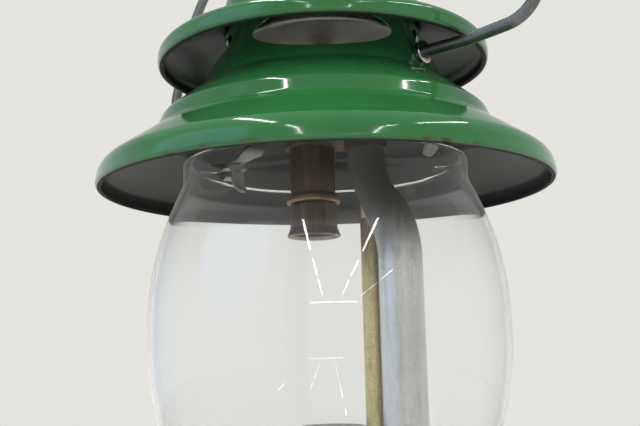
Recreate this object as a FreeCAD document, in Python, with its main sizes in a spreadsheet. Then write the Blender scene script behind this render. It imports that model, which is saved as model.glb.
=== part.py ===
import FreeCAD, Part
import Sketcher
import math
import os
import re

Vector = FreeCAD.Vector
Rotation = FreeCAD.Rotation

# A single-mantle pressure lantern. The origin is the middle of the foot ring, +Z is up,
# and the control wheel, generator and air tube are at the front, towards -Y.

# Driving sizes, in millimetres and degrees
sizes = {
    # Gaps: soldered or pressed seams, turning shafts, pieces that pass each other, threads
    "seam_gap": 0.1,
    "shaft_gap": 0.08,
    "pass_gap": 0.3,
    "thread_gap": 0.15,
    # Fount: the fuel tank at the bottom
    "fount_radius": 82.5,
    "fount_wall": 1.0,
    "fount_lip_height": 4.0,
    "fount_side_top": 72.0,
    "fount_top": 84.0,
    "shoulder_width": 22.5,
    "shoulder_round": 16.0,
    "flat_round": 4.0,
    "shoulder_drill": 8.0,
    "dish_height": 8.0,
    "foot_width": 11.4,
    "dish_slope": 4.0,
    "dish_round": 4.0,
    "foot_round": 2.0,
    "bottom_flange": 16.0,
    # Valve boss and fuel pickup in the middle of the fount
    "boss_radius": 11.0,
    "boss_depth": 4.0,
    "boss_rise": 6.0,
    "spigot_radius": 6.0,
    "spigot_reach": 8.0,
    "pickup_radius": 3.0,
    "pickup_wall": 0.7,
    "pickup_socket": 5.0,
    "pickup_foot_gap": 6.0,
    # Filler on the left shoulder
    "filler_azimuth": 200.0,
    "filler_inset": 11.0,
    "filler_neck_radius": 11.0,
    "filler_neck_wall": 2.0,
    "filler_neck_rise": 6.0,
    "filler_neck_reach": 6.0,
    "filler_cap_wall": 2.2,
    "filler_cap_skirt": 4.5,
    "filler_cap_top": 3.0,
    "filler_cap_round": 1.2,
    "filler_gasket_thickness": 1.6,
    # Pump on the right shoulder
    "pump_azimuth": -30.0,
    "pump_inset": 11.5,
    "pump_tube_radius": 10.0,
    "pump_tube_wall": 1.0,
    "pump_tube_reach": 62.0,
    "pump_tube_rise": 8.0,
    "pump_floor": 3.0,
    "pump_cap_wall": 1.4,
    "pump_cap_top": 3.0,
    "pump_cap_skirt": 5.0,
    "pump_cap_round": 1.0,
    "plunger_rod_radius": 4.0,
    "plunger_rod_wall": 1.2,
    "plunger_rest_gap": 1.0,
    "plunger_knob_radius": 10.5,
    "plunger_knob_height": 12.0,
    "plunger_knob_socket": 6.0,
    "plunger_knob_round": 2.5,
    "leather_height": 7.0,
    "leather_wall": 1.6,
    "leather_nut_height": 4.0,
    "leather_nut_radius": 6.0,
    "air_stem_radius": 2.2,
    "air_stem_end_gap": 8.0,
    "check_valve_radius": 5.0,
    "check_valve_bore": 1.2,
    "check_valve_rise": 2.0,
    "check_valve_drop": 4.0,
    # Valve, control wheel and tip cleaner
    "valve_block_radius": 9.0,
    "valve_block_height": 13.0,
    "fuel_bore": 1.5,
    "stem_rise": 6.5,
    "stem_radius": 3.0,
    "stem_inner": 13.0,
    "valve_arm_radius": 6.0,
    "valve_arm_reach": 34.0,
    "packing_nut_flats": 13.0,
    "packing_nut_length": 8.0,
    "wheel_back": 68.0,
    "wheel_width": 9.0,
    "wheel_radius": 13.0,
    "wheel_hub_radius": 2.2,
    "wheel_hub_inset": 1.5,
    "wheel_edge_round": 1.6,
    "wheel_flute_radius": 3.0,
    "wheel_flute_depth": 1.1,
    "wheel_flute_count": 10,
    "wheel_screw_radius": 1.2,
    "wheel_screw_reach": 5.0,
    "wheel_screw_head_radius": 3.4,
    "wheel_screw_head_height": 1.8,
    "outlet_radius": 6.5,
    "outlet_rise": 14.0,
    "lever_rise": 9.5,
    "lever_radius": 1.6,
    "lever_reach": 63.0,
    "lever_handle": 12.0,
    "lever_tip_radius": 2.4,
    "eccentric": 0.8,
    "eccentric_pin_radius": 0.6,
    "eccentric_pin_reach": 2.2,
    "cleaner_block_radius": 2.5,
    "cleaner_block_height": 7.0,
    "cleaner_slot_gap": 0.15,
    "cleaner_rod_radius": 0.8,
    "cleaner_rod_end": 3.0,
    # Generator: the fuel tube beside the air tube
    "generator_back": 19.0,
    "generator_radius": 3.3,
    "generator_wall": 0.8,
    "generator_drop": 21.0,
    "generator_tip_length": 11.0,
    "generator_tip_radius": 1.9,
    "generator_tip_bore": 1.1,
    "generator_tip_step": 4.0,
    "jam_nut_flats": 12.0,
    "jam_nut_height": 5.0,
    # Collar, strap, globe rest and heat shield
    "collar_radius": 56.0,
    "collar_wall": 1.0,
    "collar_height": 34.0,
    "collar_flange": 6.0,
    "collar_round": 1.6,
    "collar_stem_hole": 6.0,
    "collar_lever_hole": 3.0,
    "collar_vent_radius": 4.5,
    "collar_vent_rise": 17.0,
    "collar_vent_count": 8,
    "strap_width": 16.0,
    "strap_wall": 1.2,
    "strap_step": 9.0,
    "strap_flat": 17.0,
    "strap_end_gap": 2.5,
    "strap_round": 2.0,
    "rest_radius": 54.0,
    "rest_wall": 1.2,
    "rest_lip": 7.0,
    "rest_round": 2.2,
    "heat_shield_radius": 14.6,
    "heat_shield_height": 26.0,
    "heat_shield_wall": 0.8,
    "heat_shield_round": 4.0,
    # Globe
    "globe_height": 116.0,
    "globe_rim_radius": 50.0,
    "globe_belly_radius": 62.0,
    "globe_neck": 7.5,
    "globe_belly_half": 24.5,
    "globe_neck_round": 7.0,
    "globe_wall": 2.6,
    # Air tube, bent in near the top and tapered to its upper end
    "air_tube_back": 30.9,
    "air_tube_radius": 7.3,
    "mixing_back": 18.0,
    "mixing_radius": 6.3,
    "tube_wall": 1.0,
    "tube_round": 30.0,
    "tube_foot_depth": 1.0,
    "tube_bend_drop": 27.0,
    "tube_top_drop": 6.0,
    "taper_lead": 1.0,
    # Burner
    "burner_back": 6.0,
    "burner_tube_radius": 8.0,
    "burner_tube_wall": 1.0,
    "manifold_rise": 7.0,
    "manifold_height": 7.5,
    "manifold_radius": 10.0,
    "manifold_wall": 1.4,
    "tube_socket": 2.5,
    "mixing_collar_radius": 7.4,
    "mixing_collar_height": 4.0,
    "burner_cap_drop": 13.0,
    "burner_collar_height": 3.4,
    "burner_collar_radius": 9.6,
    "burner_collar_round": 1.3,
    "burner_cap_height": 11.6,
    "burner_cap_radius": 8.4,
    "burner_cap_wall": 0.8,
    "burner_cap_seat": 1.8,
    "burner_cap_round": 1.0,
    "burner_lip_radius": 9.6,
    "burner_lip_height": 3.0,
    "burner_screen_lift": 6.0,
    "burner_screen_thickness": 0.8,
    # Crossbar over the globe rim and the stud that holds the ventilator
    "crossbar_width": 10.0,
    "crossbar_wall": 1.2,
    "crossbar_flat": 30.0,
    "crossbar_arm_end": 51.5,
    "crossbar_arm_lift": 1.5,
    "crossbar_leg_drop": 9.0,
    "crossbar_leg_width": 6.0,
    "crossbar_leg_gap": 1.0,
    "crossbar_round": 2.0,
    "tab_inset": 1.6,
    "tab_drop": 2.0,
    "stud_radius": 2.5,
    "stud_pillar_radius": 4.0,
    "stud_end": 10.0,
    # Ventilator: brim, shoulder and neck pressed in one piece
    "enamel_wall": 1.0,
    "brim_radius": 79.8,
    "brim_drop": 9.2,
    "brim_lip": 2.2,
    "brim_band": 7.2,
    "brim_taper": 1.0,
    "brim_rise": 12.8,
    "shoulder_foot_radius": 59.6,
    "shoulder_height": 5.4,
    "shoulder_radius": 57.6,
    "shoulder_rise": 10.65,
    "neck_foot_radius": 43.6,
    "neck_height": 22.05,
    "neck_flange": 6.0,
    "lip_round": 1.4,
    "crease_round": 8.4,
    "foot_crease_round": 3.0,
    "shoulder_edge_round": 5.2,
    "neck_foot_round": 3.5,
    "neck_top_round": 3.0,
    "window_turn": 40.0,
    "window_half_width": 22.9,
    "window_half_height": 8.0,
    "window_rise": 11.75,
    # Ventilator hood
    "hood_radius": 58.95,
    "hood_lip": 2.2,
    "hood_side": 5.7,
    "hood_rise": 11.4,
    "hood_round": 4.3,
    "crown_radius": 35.3,
    "crown_lift": 3.0,
    "crown_height": 13.5,
    "crown_foot_round": 2.5,
    "crown_round": 9.0,
    # Baffle plate inside the neck
    "baffle_radius": 33.4,
    "baffle_rise": 15.15,
    "baffle_rim": 3.0,
    "baffle_wall": 0.8,
    "baffle_round": 1.2,
    # Ball nut on top
    "ball_radius": 8.0,
    "ball_lift": 12.0,
    "ball_foot_radius": 7.5,
    "ball_foot_height": 3.0,
    "ball_waist_radius": 4.8,
    # Bail and its eyelets
    "ear_rise": 5.15,
    "bail_wire_radius": 2.0,
    "bail_bore_gap": 0.25,
    "eyelet_wall": 1.1,
    "eyelet_inner": 38.5,
    "eyelet_outer": 44.4,
    "eyelet_lip": 0.8,
    "eyelet_lip_radius": 3.9,
    "bail_head_radius": 3.4,
    "bail_head_thickness": 1.5,
    "bail_straight": 60.5,
    "bail_half_span": 84.2,
    "bail_leg_rise": 2.6,
    "bail_height": 105.0,
    "bail_leg_round": 11.0,
    "bail_arch_round": 66.0,
    "bail_lean_angle": 15.0,
}

# Heights and places that follow from the driving sizes
worked_out = {
    "fount_flat_radius": "fount_radius - shoulder_width",
    "filler_run": "fount_radius - filler_inset",
    "pump_run": "fount_radius - pump_inset",
    "shoulder_angle": "atan((fount_top - fount_side_top) / shoulder_width)",
    "pump_height": "fount_top - (pump_run - fount_flat_radius) * tan(shoulder_angle)",
    "filler_height": "fount_top - (filler_run - fount_flat_radius) * tan(shoulder_angle)",
    "filler_seal_foot": "filler_neck_rise + seam_gap",
    "filler_seal_top": "filler_seal_foot + filler_gasket_thickness",
    "bottom_radius": "fount_radius - fount_wall - seam_gap",
    "dish_radius": "bottom_radius - foot_width - dish_slope",
    "boss_top": "fount_top + boss_rise",
    "spigot_foot": "fount_top - spigot_reach",
    "valve_foot": "boss_top + strap_wall",
    "stem_height": "valve_foot + stem_rise",
    "wheel_front": "wheel_back + wheel_width",
    "lever_height": "stem_height + lever_rise",
    "lever_inner": "generator_back + cleaner_block_radius + pass_gap",
    "outlet_top": "stem_height + outlet_rise",
    "pump_floor_top": "pump_floor - pump_tube_reach",
    "check_valve_top": "pump_floor_top + check_valve_rise",
    "plunger_foot": "check_valve_top + plunger_rest_gap",
    "leather_foot": "plunger_foot + leather_nut_height",
    "pump_cap_end": "pump_tube_rise + pump_cap_top",
    "knob_foot": "pump_cap_end + plunger_rest_gap",
    "plunger_rod_top": "knob_foot + plunger_knob_socket",
    "collar_top": "fount_top + collar_height",
    "globe_seat": "collar_top + rest_wall",
    "globe_rim": "globe_seat + globe_height",
    "globe_slope_height": "globe_height / 2 - globe_neck - globe_belly_half",
    "globe_slope_width": "globe_belly_radius - globe_rim_radius",
    "globe_slope": "atan(globe_slope_width / globe_slope_height)",
    "globe_slope_length": "sqrt(globe_slope_width ^ 2 + globe_slope_height ^ 2)",
    "globe_slope_room": "globe_slope_length - globe_neck_round * tan(globe_slope / 2)",
    "globe_belly_round": "0.9 * min(globe_belly_half; globe_slope_room) / tan(globe_slope / 2)",
    "tube_foot": "collar_top - tube_foot_depth",
    "tube_low_bend": "globe_rim - tube_bend_drop",
    "tube_high_bend": "globe_rim - tube_top_drop",
    "tube_bend_height": "tube_high_bend - tube_low_bend",
    "tube_slant": "atan((air_tube_back - mixing_back) / tube_bend_height)",
    "jet_hole_foot": "tube_low_bend - air_tube_radius",
    "tube_slant_length": "tube_bend_height / cos(tube_slant)",
    "taper_start": "tube_round * tan(tube_slant / 2) + taper_lead",
    "taper_length": "tube_slant_length - 2 * taper_start",
    "manifold_foot": "globe_rim + manifold_rise",
    "manifold_top": "manifold_foot + manifold_height",
    "tube_end": "manifold_foot + tube_socket",
    "burner_cap_top": "globe_rim - burner_cap_drop",
    "burner_mouth": "burner_cap_top - burner_cap_height",
    "generator_top": "globe_rim - generator_drop",
    "generator_end": "generator_top + generator_tip_length",
    "crossbar_top": "manifold_top + crossbar_wall",
    "arm_end_height": "globe_rim + crossbar_arm_lift",
    "arm_slope": "(manifold_top - arm_end_height) / (crossbar_arm_end - crossbar_flat)",
    "leg_back": "globe_rim_radius - globe_wall - crossbar_leg_gap - crossbar_wall",
    "leg_top": "arm_end_height + (crossbar_arm_end - leg_back) * arm_slope",
    "leg_foot": "globe_rim - crossbar_leg_drop",
    "brim_edge": "globe_rim - brim_drop",
    "brim_crease": "brim_edge + brim_band",
    "shoulder_foot": "brim_crease + brim_rise",
    "shoulder_top": "shoulder_foot + shoulder_height",
    "neck_foot": "shoulder_top + shoulder_rise",
    "neck_top": "neck_foot + neck_height",
    "neck_flange_radius": "crown_radius - enamel_wall - seam_gap",
    "crown_foot": "neck_top + crown_lift",
    "crown_top": "crown_foot + crown_height",
    "hood_corner": "crown_foot - hood_rise",
    "hood_edge": "hood_corner - hood_side",
    "baffle_height": "neck_foot + baffle_rise",
    "ear_height": "neck_foot + ear_rise",
    "eyelet_bore": "bail_wire_radius + bail_bore_gap",
    "eyelet_radius": "eyelet_bore + eyelet_wall",
    "bail_end": "eyelet_inner - pass_gap - bail_head_thickness",
}

doc = FreeCAD.newDocument("Lantern")
sheet = doc.addObject("Spreadsheet::Sheet", "Sizes")
nodes = []


def fill_sheet():
    rows = [(name, str(size)) for name, size in sizes.items()]
    rows += [(name, "=" + formula) for name, formula in worked_out.items()]
    for row, (name, content) in enumerate(rows, 1):
        sheet.set("A%d" % row, name)
        sheet.set("B%d" % row, content)
        sheet.setAlias("B%d" % row, name)
    doc.recompute()


def cells(text):
    def cell(word):
        name = word.group(0)
        known = name in sizes or name in worked_out
        return "Sizes." + name if known else name
    return re.sub(r"[a-z][a-z_0-9]*", cell, text)


def number(text):
    found = sheet.evalExpression(cells(text))
    return float(getattr(found, "Value", found))


def bind(thing, **bindings):
    for name, text in bindings.items():
        thing.setExpression(name, cells(text))
    return thing


def place(thing, x="0", y="0", z="0", yaw="0", pitch="0", roll="0"):
    where = "placement(vector(%s; %s; %s); rotation(%s; %s; %s))" % (x, y, z, yaw, pitch, roll)
    thing.setExpression("Placement", cells(where))
    return thing


def node(label, thing):
    thing.Label = label
    nodes.append(thing)
    return thing


# Outlines: a corner is (across, up) or (across, up, rounding), each written as a formula
def rounding(before, corner, after, radius):
    towards_before = (before - corner).normalize()
    towards_after = (after - corner).normalize()
    half = towards_before.getAngle(towards_after) / 2
    reach = radius / math.tan(half)
    inward = (towards_before + towards_after).normalize()
    entry = corner + towards_before * reach
    leave = corner + towards_after * reach
    centre = corner + inward * (radius / math.sin(half))
    return entry, leave, centre


def turn_angle(centre, point):
    return math.atan2(point.y - centre.y, point.x - centre.x)


def add_arc(sketch, entry, leave, centre):
    start = turn_angle(centre, entry)
    end = turn_angle(centre, leave)
    clockwise = (end - start) % (2 * math.pi) > math.pi
    if clockwise:
        start, end = end, start
    circle = Part.Circle(centre, Vector(0, 0, 1), (entry - centre).Length)
    arc = sketch.addGeometry(Part.ArcOfCircle(circle, start, end))
    return (arc, 2, 1) if clockwise else (arc, 1, 2)


def set_size(sketch, name, constraint, text):
    index = sketch.addConstraint(constraint)
    sketch.renameConstraint(index, name)
    sketch.setExpression("Constraints." + name, cells(text))


def pin(sketch, index, corner, geometry, end):
    across, up = corner[0], corner[1]
    if across == "0":
        sketch.addConstraint(Sketcher.Constraint("PointOnObject", geometry, end, -2))
    else:
        distance = Sketcher.Constraint("DistanceX", -1, 1, geometry, end, number(across))
        set_size(sketch, "across%d" % index, distance, across)
    if up == "0":
        sketch.addConstraint(Sketcher.Constraint("PointOnObject", geometry, end, -1))
    else:
        distance = Sketcher.Constraint("DistanceY", -1, 1, geometry, end, number(up))
        set_size(sketch, "up%d" % index, distance, up)


def draw(sketch, corners, closed=False):
    points = [Vector(number(corner[0]), number(corner[1]), 0) for corner in corners]
    count = len(points)
    rounds = {}
    for i, corner in enumerate(corners):
        if len(corner) > 2:
            after = points[(i + 1) % count]
            rounds[i] = rounding(points[i - 1], points[i], after, number(corner[2]))
    sides = count if closed else count - 1
    lines = []
    for i in range(sides):
        j = (i + 1) % count
        start = rounds[i][1] if i in rounds else points[i]
        end = rounds[j][0] if j in rounds else points[j]
        lines.append(sketch.addGeometry(Part.LineSegment(start, end)))
    for i, corner in enumerate(corners):
        before = lines[i - 1] if closed or i > 0 else None
        after = lines[i] if i < sides else None
        if i in rounds:
            arc, arc_start, arc_end = add_arc(sketch, *rounds[i])
            sketch.addConstraint(Sketcher.Constraint("Tangent", before, 2, arc, arc_start))
            sketch.addConstraint(Sketcher.Constraint("Tangent", after, 1, arc, arc_end))
            radius = Sketcher.Constraint("Radius", arc, number(corner[2]))
            set_size(sketch, "round%d" % i, radius, corner[2])
            tip = sketch.addGeometry(Part.Point(points[i]), True)
            sketch.addConstraint(Sketcher.Constraint("PointOnObject", tip, 1, before))
            sketch.addConstraint(Sketcher.Constraint("PointOnObject", tip, 1, after))
            pin(sketch, i, corner, tip, 1)
            continue
        if before is not None and after is not None:
            sketch.addConstraint(Sketcher.Constraint("Coincident", before, 2, after, 1))
        if after is not None:
            pin(sketch, i, corner, after, 1)
        else:
            pin(sketch, i, corner, before, 2)


# Upright sketch planes: across is +X on the first and +Y on the second
facing_front = Rotation(Vector(1, 0, 0), 90)
facing_side = Rotation(Vector(0, 0, 1), 90) * facing_front


def path(name, corners, turned_to):
    sketch = doc.addObject("Sketcher::SketchObject", name)
    sketch.Placement = FreeCAD.Placement(Vector(0, 0, 0), turned_to)
    draw(sketch, corners)
    doc.recompute()
    return sketch


# Sheet: a path thickened to one side, which is inwards where a spun path runs up the outside
def skin(name, corners, wall, turned_to):
    section = doc.addObject("Part::Offset2D", name + "_section")
    section.Source = path(name + "_path", corners, turned_to)
    section.Mode = "Skin"
    section.Fill = True
    return bind(section, Value=wall)


def pressed(name, corners, wall):
    spun = doc.addObject("Part::Revolution", name)
    spun.Source = skin(name, corners, wall, facing_front)
    spun.Axis = Vector(0, 0, 1)
    spun.Angle = 360
    spun.Solid = True
    return spun


def strip(name, corners, wall, width, turned_to):
    pulled = doc.addObject("Part::Extrusion", name)
    pulled.Base = skin(name, corners, wall, turned_to)
    pulled.DirMode = "Normal"
    pulled.Symmetric = True
    pulled.Solid = True
    return bind(pulled, LengthFwd=width)


def origin_plane(body, role):
    return [plane for plane in body.Origin.OriginFeatures if plane.Role == role][0]


# Turned pieces: a closed outline spun about the piece's own axis
def turned(name, corners, **where):
    body = doc.addObject("PartDesign::Body", name)
    sketch = body.newObject("Sketcher::SketchObject", name + "_outline")
    sketch.AttachmentSupport = [(origin_plane(body, "XZ_Plane"), "")]
    sketch.MapMode = "FlatFace"
    draw(sketch, corners, closed=True)
    spin = body.newObject("PartDesign::Revolution", name + "_spin")
    spin.Profile = sketch
    spin.ReferenceAxis = (sketch, ["V_Axis"])
    spin.Angle = 360
    body.Tip = spin
    return place(body, **where)


def ring(name, inner, outer, low, high, **where):
    return turned(name, [(inner, low), (outer, low), (outer, high), (inner, high)], **where)


def rod(name, radius, height, **where):
    cylinder = doc.addObject("Part::Cylinder", name)
    bind(cylinder, Radius=radius, Height=height)
    return place(cylinder, **where)


def block(name, length, width, height, **where):
    box = doc.addObject("Part::Box", name)
    bind(box, Length=length, Width=width, Height=height)
    return place(box, **where)


def ball(name, radius, **where):
    sphere = doc.addObject("Part::Sphere", name)
    return place(bind(sphere, Radius=radius), **where)


def hexagon(name, flats, height, **where):
    prism = doc.addObject("Part::Prism", name)
    prism.Polygon = 6
    bind(prism, Circumradius="(%s) / 2 / cos(30)" % flats, Height=height)
    return place(prism, **where)


def fused(name, pieces):
    whole = doc.addObject("Part::MultiFuse", name)
    whole.Shapes = pieces
    whole.Refine = True
    return whole


def cut(name, base, *tools):
    left = doc.addObject("Part::Cut", name)
    left.Base = base
    left.Tool = tools[0] if len(tools) == 1 else fused(name + "_tools", list(tools))
    return left


def swept(name, spine, radius, **where):
    section = doc.addObject("Part::Circle", name + "_section")
    place(bind(section, Radius=radius), **where)
    tube = doc.addObject("Part::Sweep", name)
    tube.Sections = [section]
    tube.Spine = (spine, ["Edge%d" % (i + 1) for i in range(len(spine.Shape.Edges))])
    tube.Solid = True
    return tube


# Pieces on the fount's shoulder stand square to its slope
def on_shoulder(run, height, azimuth):
    return {
        "x": "%s * cos(%s)" % (run, azimuth),
        "y": "%s * sin(%s)" % (run, azimuth),
        "z": height,
        "yaw": azimuth,
        "pitch": "shoulder_angle",
    }


filler_place = on_shoulder("filler_run", "filler_height", "filler_azimuth")
pump_place = on_shoulder("pump_run", "pump_height", "pump_azimuth")


def shoulder_hole(name, radius, seat):
    corners = [
        ("0", "-shoulder_drill"),
        (radius, "-shoulder_drill"),
        (radius, "shoulder_drill"),
        ("0", "shoulder_drill"),
    ]
    return turned(name, corners, **seat)


def make_fount():
    drawn = pressed(
        "fount_drawn",
        [
            ("fount_radius", "fount_lip_height"),
            ("fount_radius", "fount_side_top", "shoulder_round"),
            ("fount_flat_radius", "fount_top", "flat_round"),
            ("boss_radius + seam_gap", "fount_top"),
        ],
        "fount_wall")
    filler_hole = shoulder_hole("filler_hole", "filler_neck_radius + seam_gap", filler_place)
    pump_hole = shoulder_hole("pump_hole", "pump_tube_radius + seam_gap", pump_place)
    node("fount_shell", cut("fount_drilled", drawn, filler_hole, pump_hole))
    bottom = pressed(
        "fount_dish",
        [
            ("0", "dish_height"),
            ("dish_radius", "dish_height", "dish_round"),
            ("dish_radius + dish_slope", "0", "foot_round"),
            ("bottom_radius", "0", "dish_round"),
            ("bottom_radius", "bottom_flange"),
        ],
        "fount_wall")
    node("fount_bottom", bottom)
    boss_bore = "spigot_radius + thread_gap"
    boss = ring("boss", boss_bore, "boss_radius", "fount_top - boss_depth", "boss_top")
    node("valve_boss", boss)
    pickup_foot = "dish_height + fount_wall + pickup_foot_gap"
    pickup_top = "spigot_foot + pickup_socket"
    pickup_bore = "pickup_radius - pickup_wall"
    node("fuel_pickup_tube", ring("pickup", pickup_bore, "pickup_radius", pickup_foot, pickup_top))


def make_filler():
    bore = "filler_neck_radius - filler_neck_wall"
    neck_outside = "filler_neck_radius"
    neck_foot = "-filler_neck_reach"
    neck = ring("filler_tube", bore, neck_outside, neck_foot, "filler_neck_rise", **filler_place)
    node("filler_neck", neck)
    gasket = ring("seal", bore, neck_outside, "filler_seal_foot", "filler_seal_top", **filler_place)
    node("filler_gasket", gasket)
    inside = "filler_neck_radius + thread_gap"
    outside = "filler_neck_radius + thread_gap + filler_cap_wall"
    skirt = "filler_neck_rise - filler_cap_skirt"
    top = "filler_seal_top + filler_cap_top"
    cap = turned(
        "filler_top",
        [
            ("0", "filler_seal_top"),
            (inside, "filler_seal_top"),
            (inside, skirt),
            (outside, skirt),
            (outside, top, "filler_cap_round"),
            ("0", top),
        ],
        **filler_place)
    node("filler_cap", cap)


# Pump: barrel, cap and check valve are fixed; the stem turns, and the plunger slides on it
def make_pump():
    tube_bore = "pump_tube_radius - pump_tube_wall"
    floor_hole = "check_valve_radius + thread_gap"
    barrel = turned(
        "pump_barrel",
        [
            (floor_hole, "-pump_tube_reach"),
            ("pump_tube_radius", "-pump_tube_reach"),
            ("pump_tube_radius", "pump_tube_rise"),
            (tube_bore, "pump_tube_rise"),
            (tube_bore, "pump_floor_top"),
            (floor_hole, "pump_floor_top"),
        ],
        **pump_place)
    node("pump_tube", barrel)
    check = ring(
        "pump_check",
        "check_valve_bore",
        "check_valve_radius",
        "-pump_tube_reach - check_valve_drop",
        "check_valve_top",
        **pump_place)
    node("check_valve", check)
    rod_hole = "plunger_rod_radius + shaft_gap"
    cap_inside = "pump_tube_radius + thread_gap"
    cap_outside = "pump_tube_radius + thread_gap + pump_cap_wall"
    cap = turned(
        "pump_lid",
        [
            (rod_hole, "pump_tube_rise"),
            (cap_inside, "pump_tube_rise"),
            (cap_inside, "pump_tube_rise - pump_cap_skirt"),
            (cap_outside, "pump_tube_rise - pump_cap_skirt"),
            (cap_outside, "pump_cap_end", "pump_cap_round"),
            (rod_hole, "pump_cap_end"),
        ],
        **pump_place)
    node("pump_cap", cap)
    stem_top = "plunger_rod_top - air_stem_end_gap"
    stem_foot = "check_valve_top + pass_gap"
    stem_corners = [
        ("0", stem_foot),
        ("air_stem_radius", stem_foot),
        ("air_stem_radius", stem_top),
        ("0", stem_top),
    ]
    node("air_stem", turned("pump_stem", stem_corners, **pump_place))
    rod_bore = "plunger_rod_radius - plunger_rod_wall"
    plunger = ring(
        "plunger_tube", rod_bore, "plunger_rod_radius", "plunger_foot", "plunger_rod_top", **pump_place)
    node("plunger_rod", plunger)
    knob_bore = "plunger_rod_radius + seam_gap"
    knob_top = "knob_foot + plunger_knob_height"
    knob = turned(
        "plunger_grip",
        [
            (knob_bore, "knob_foot"),
            ("plunger_knob_radius", "knob_foot", "plunger_knob_round"),
            ("plunger_knob_radius", knob_top, "plunger_knob_round"),
            ("0", knob_top),
            ("0", "plunger_rod_top"),
            (knob_bore, "plunger_rod_top"),
        ],
        **pump_place)
    node("plunger_knob", knob)
    nut_bore = "plunger_rod_radius + thread_gap"
    nut = ring("plunger_nut", nut_bore, "leather_nut_radius", "plunger_foot", "leather_foot", **pump_place)
    node("leather_nut", nut)
    cup_outside = "%s - shaft_gap" % tube_bore
    cup_top = "leather_foot + leather_height"
    leather = turned(
        "plunger_cup",
        [
            (nut_bore, "leather_foot"),
            ("leather_nut_radius", "leather_foot"),
            ("%s - leather_wall" % cup_outside, "leather_foot + leather_height - leather_wall"),
            ("%s - leather_wall" % cup_outside, "leather_foot"),
            (cup_outside, "leather_foot"),
            (cup_outside, cup_top),
            (nut_bore, cup_top),
        ],
        **pump_place)
    node("pump_leather", leather)


# Along the control stem: the piece's own axis points to the front
def forward(height, y="0", x="0"):
    return {"x": x, "y": y, "z": height, "roll": "90"}


def make_valve():
    spigot = rod("spigot", "spigot_radius", "valve_foot - spigot_foot", z="spigot_foot")
    body = rod("valve_block", "valve_block_radius", "valve_block_height", z="valve_foot")
    arm = rod("valve_arm", "valve_arm_radius", "valve_arm_reach", **forward("stem_height"))
    outlet = rod("outlet", "outlet_radius", "outlet_rise", y="-generator_back", z="stem_height")
    casting = fused("valve_casting", [spigot, body, arm, outlet])
    socket = rod("pickup_socket_bore", "pickup_radius + seam_gap", "pickup_socket", z="spigot_foot")
    rise = rod("fuel_rise", "fuel_bore", "stem_height - spigot_foot", z="spigot_foot")
    seat = rod("fuel_seat", "fuel_bore", "stem_inner", **forward("stem_height"))
    stem_bore = rod(
        "stem_bore",
        "stem_radius + shaft_gap",
        "valve_arm_reach - stem_inner",
        **forward("stem_height", y="-stem_inner"))
    outlet_bore = rod(
        "outlet_bore",
        "cleaner_block_radius + shaft_gap",
        "outlet_rise",
        y="-generator_back",
        z="stem_height")
    lever_bore = rod(
        "lever_bore",
        "lever_radius + shaft_gap",
        "outlet_radius",
        **forward("lever_height", y="-generator_back"))
    bores = [socket, rise, seat, stem_bore, outlet_bore, lever_bore]
    node("valve_body", cut("valve_bored", casting, *bores))
    nut_seat = forward("stem_height", y="-valve_arm_reach")
    nut = hexagon("packing_hexagon", "packing_nut_flats", "packing_nut_length", **nut_seat)
    nut_bore = rod("packing_bore", "stem_radius + shaft_gap", "packing_nut_length", **nut_seat)
    node("packing_nut", cut("packing_bored", nut, nut_bore))


def make_wheel():
    hub_end = "wheel_front - wheel_hub_inset"
    screw_bore = "wheel_screw_radius + seam_gap"
    screw_foot = "wheel_front - wheel_screw_reach"
    stem = turned(
        "control_stem",
        [
            ("0", "stem_inner + pass_gap"),
            ("stem_radius", "stem_inner + pass_gap"),
            ("stem_radius", "wheel_back"),
            ("wheel_hub_radius", "wheel_back"),
            ("wheel_hub_radius", hub_end),
            (screw_bore, hub_end),
            (screw_bore, "%s - seam_gap" % screw_foot),
            ("0", "%s - seam_gap" % screw_foot),
        ],
        **forward("stem_height"))
    node("valve_stem", stem)
    hub_bore = "wheel_hub_radius + seam_gap"
    disc = turned(
        "wheel_disc",
        [
            (hub_bore, "wheel_back"),
            ("wheel_radius", "wheel_back", "wheel_edge_round"),
            ("wheel_radius", "wheel_front", "wheel_edge_round"),
            (hub_bore, "wheel_front"),
        ],
        **forward("stem_height"))
    flutes = []
    flute_run = "(wheel_radius + wheel_flute_radius - wheel_flute_depth)"
    for i in range(int(sizes["wheel_flute_count"])):
        turn = "(%d * 360 / wheel_flute_count)" % i
        flute = rod(
            "wheel_flute%d" % i,
            "wheel_flute_radius",
            "wheel_width",
            **forward(
                "stem_height + %s * sin%s" % (flute_run, turn),
                y="-wheel_back",
                x="%s * cos%s" % (flute_run, turn)))
        flutes.append(flute)
    node("valve_wheel", cut("wheel_fluted", disc, *flutes))
    screw = turned(
        "wheel_bolt",
        [
            ("0", screw_foot),
            ("wheel_screw_radius", screw_foot),
            ("wheel_screw_radius", "wheel_front"),
            ("wheel_screw_head_radius", "wheel_front"),
            ("wheel_screw_head_radius", "wheel_front + wheel_screw_head_height"),
            ("0", "wheel_front + wheel_screw_head_height"),
        ],
        **forward("stem_height"))
    node("wheel_screw", screw)


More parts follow.
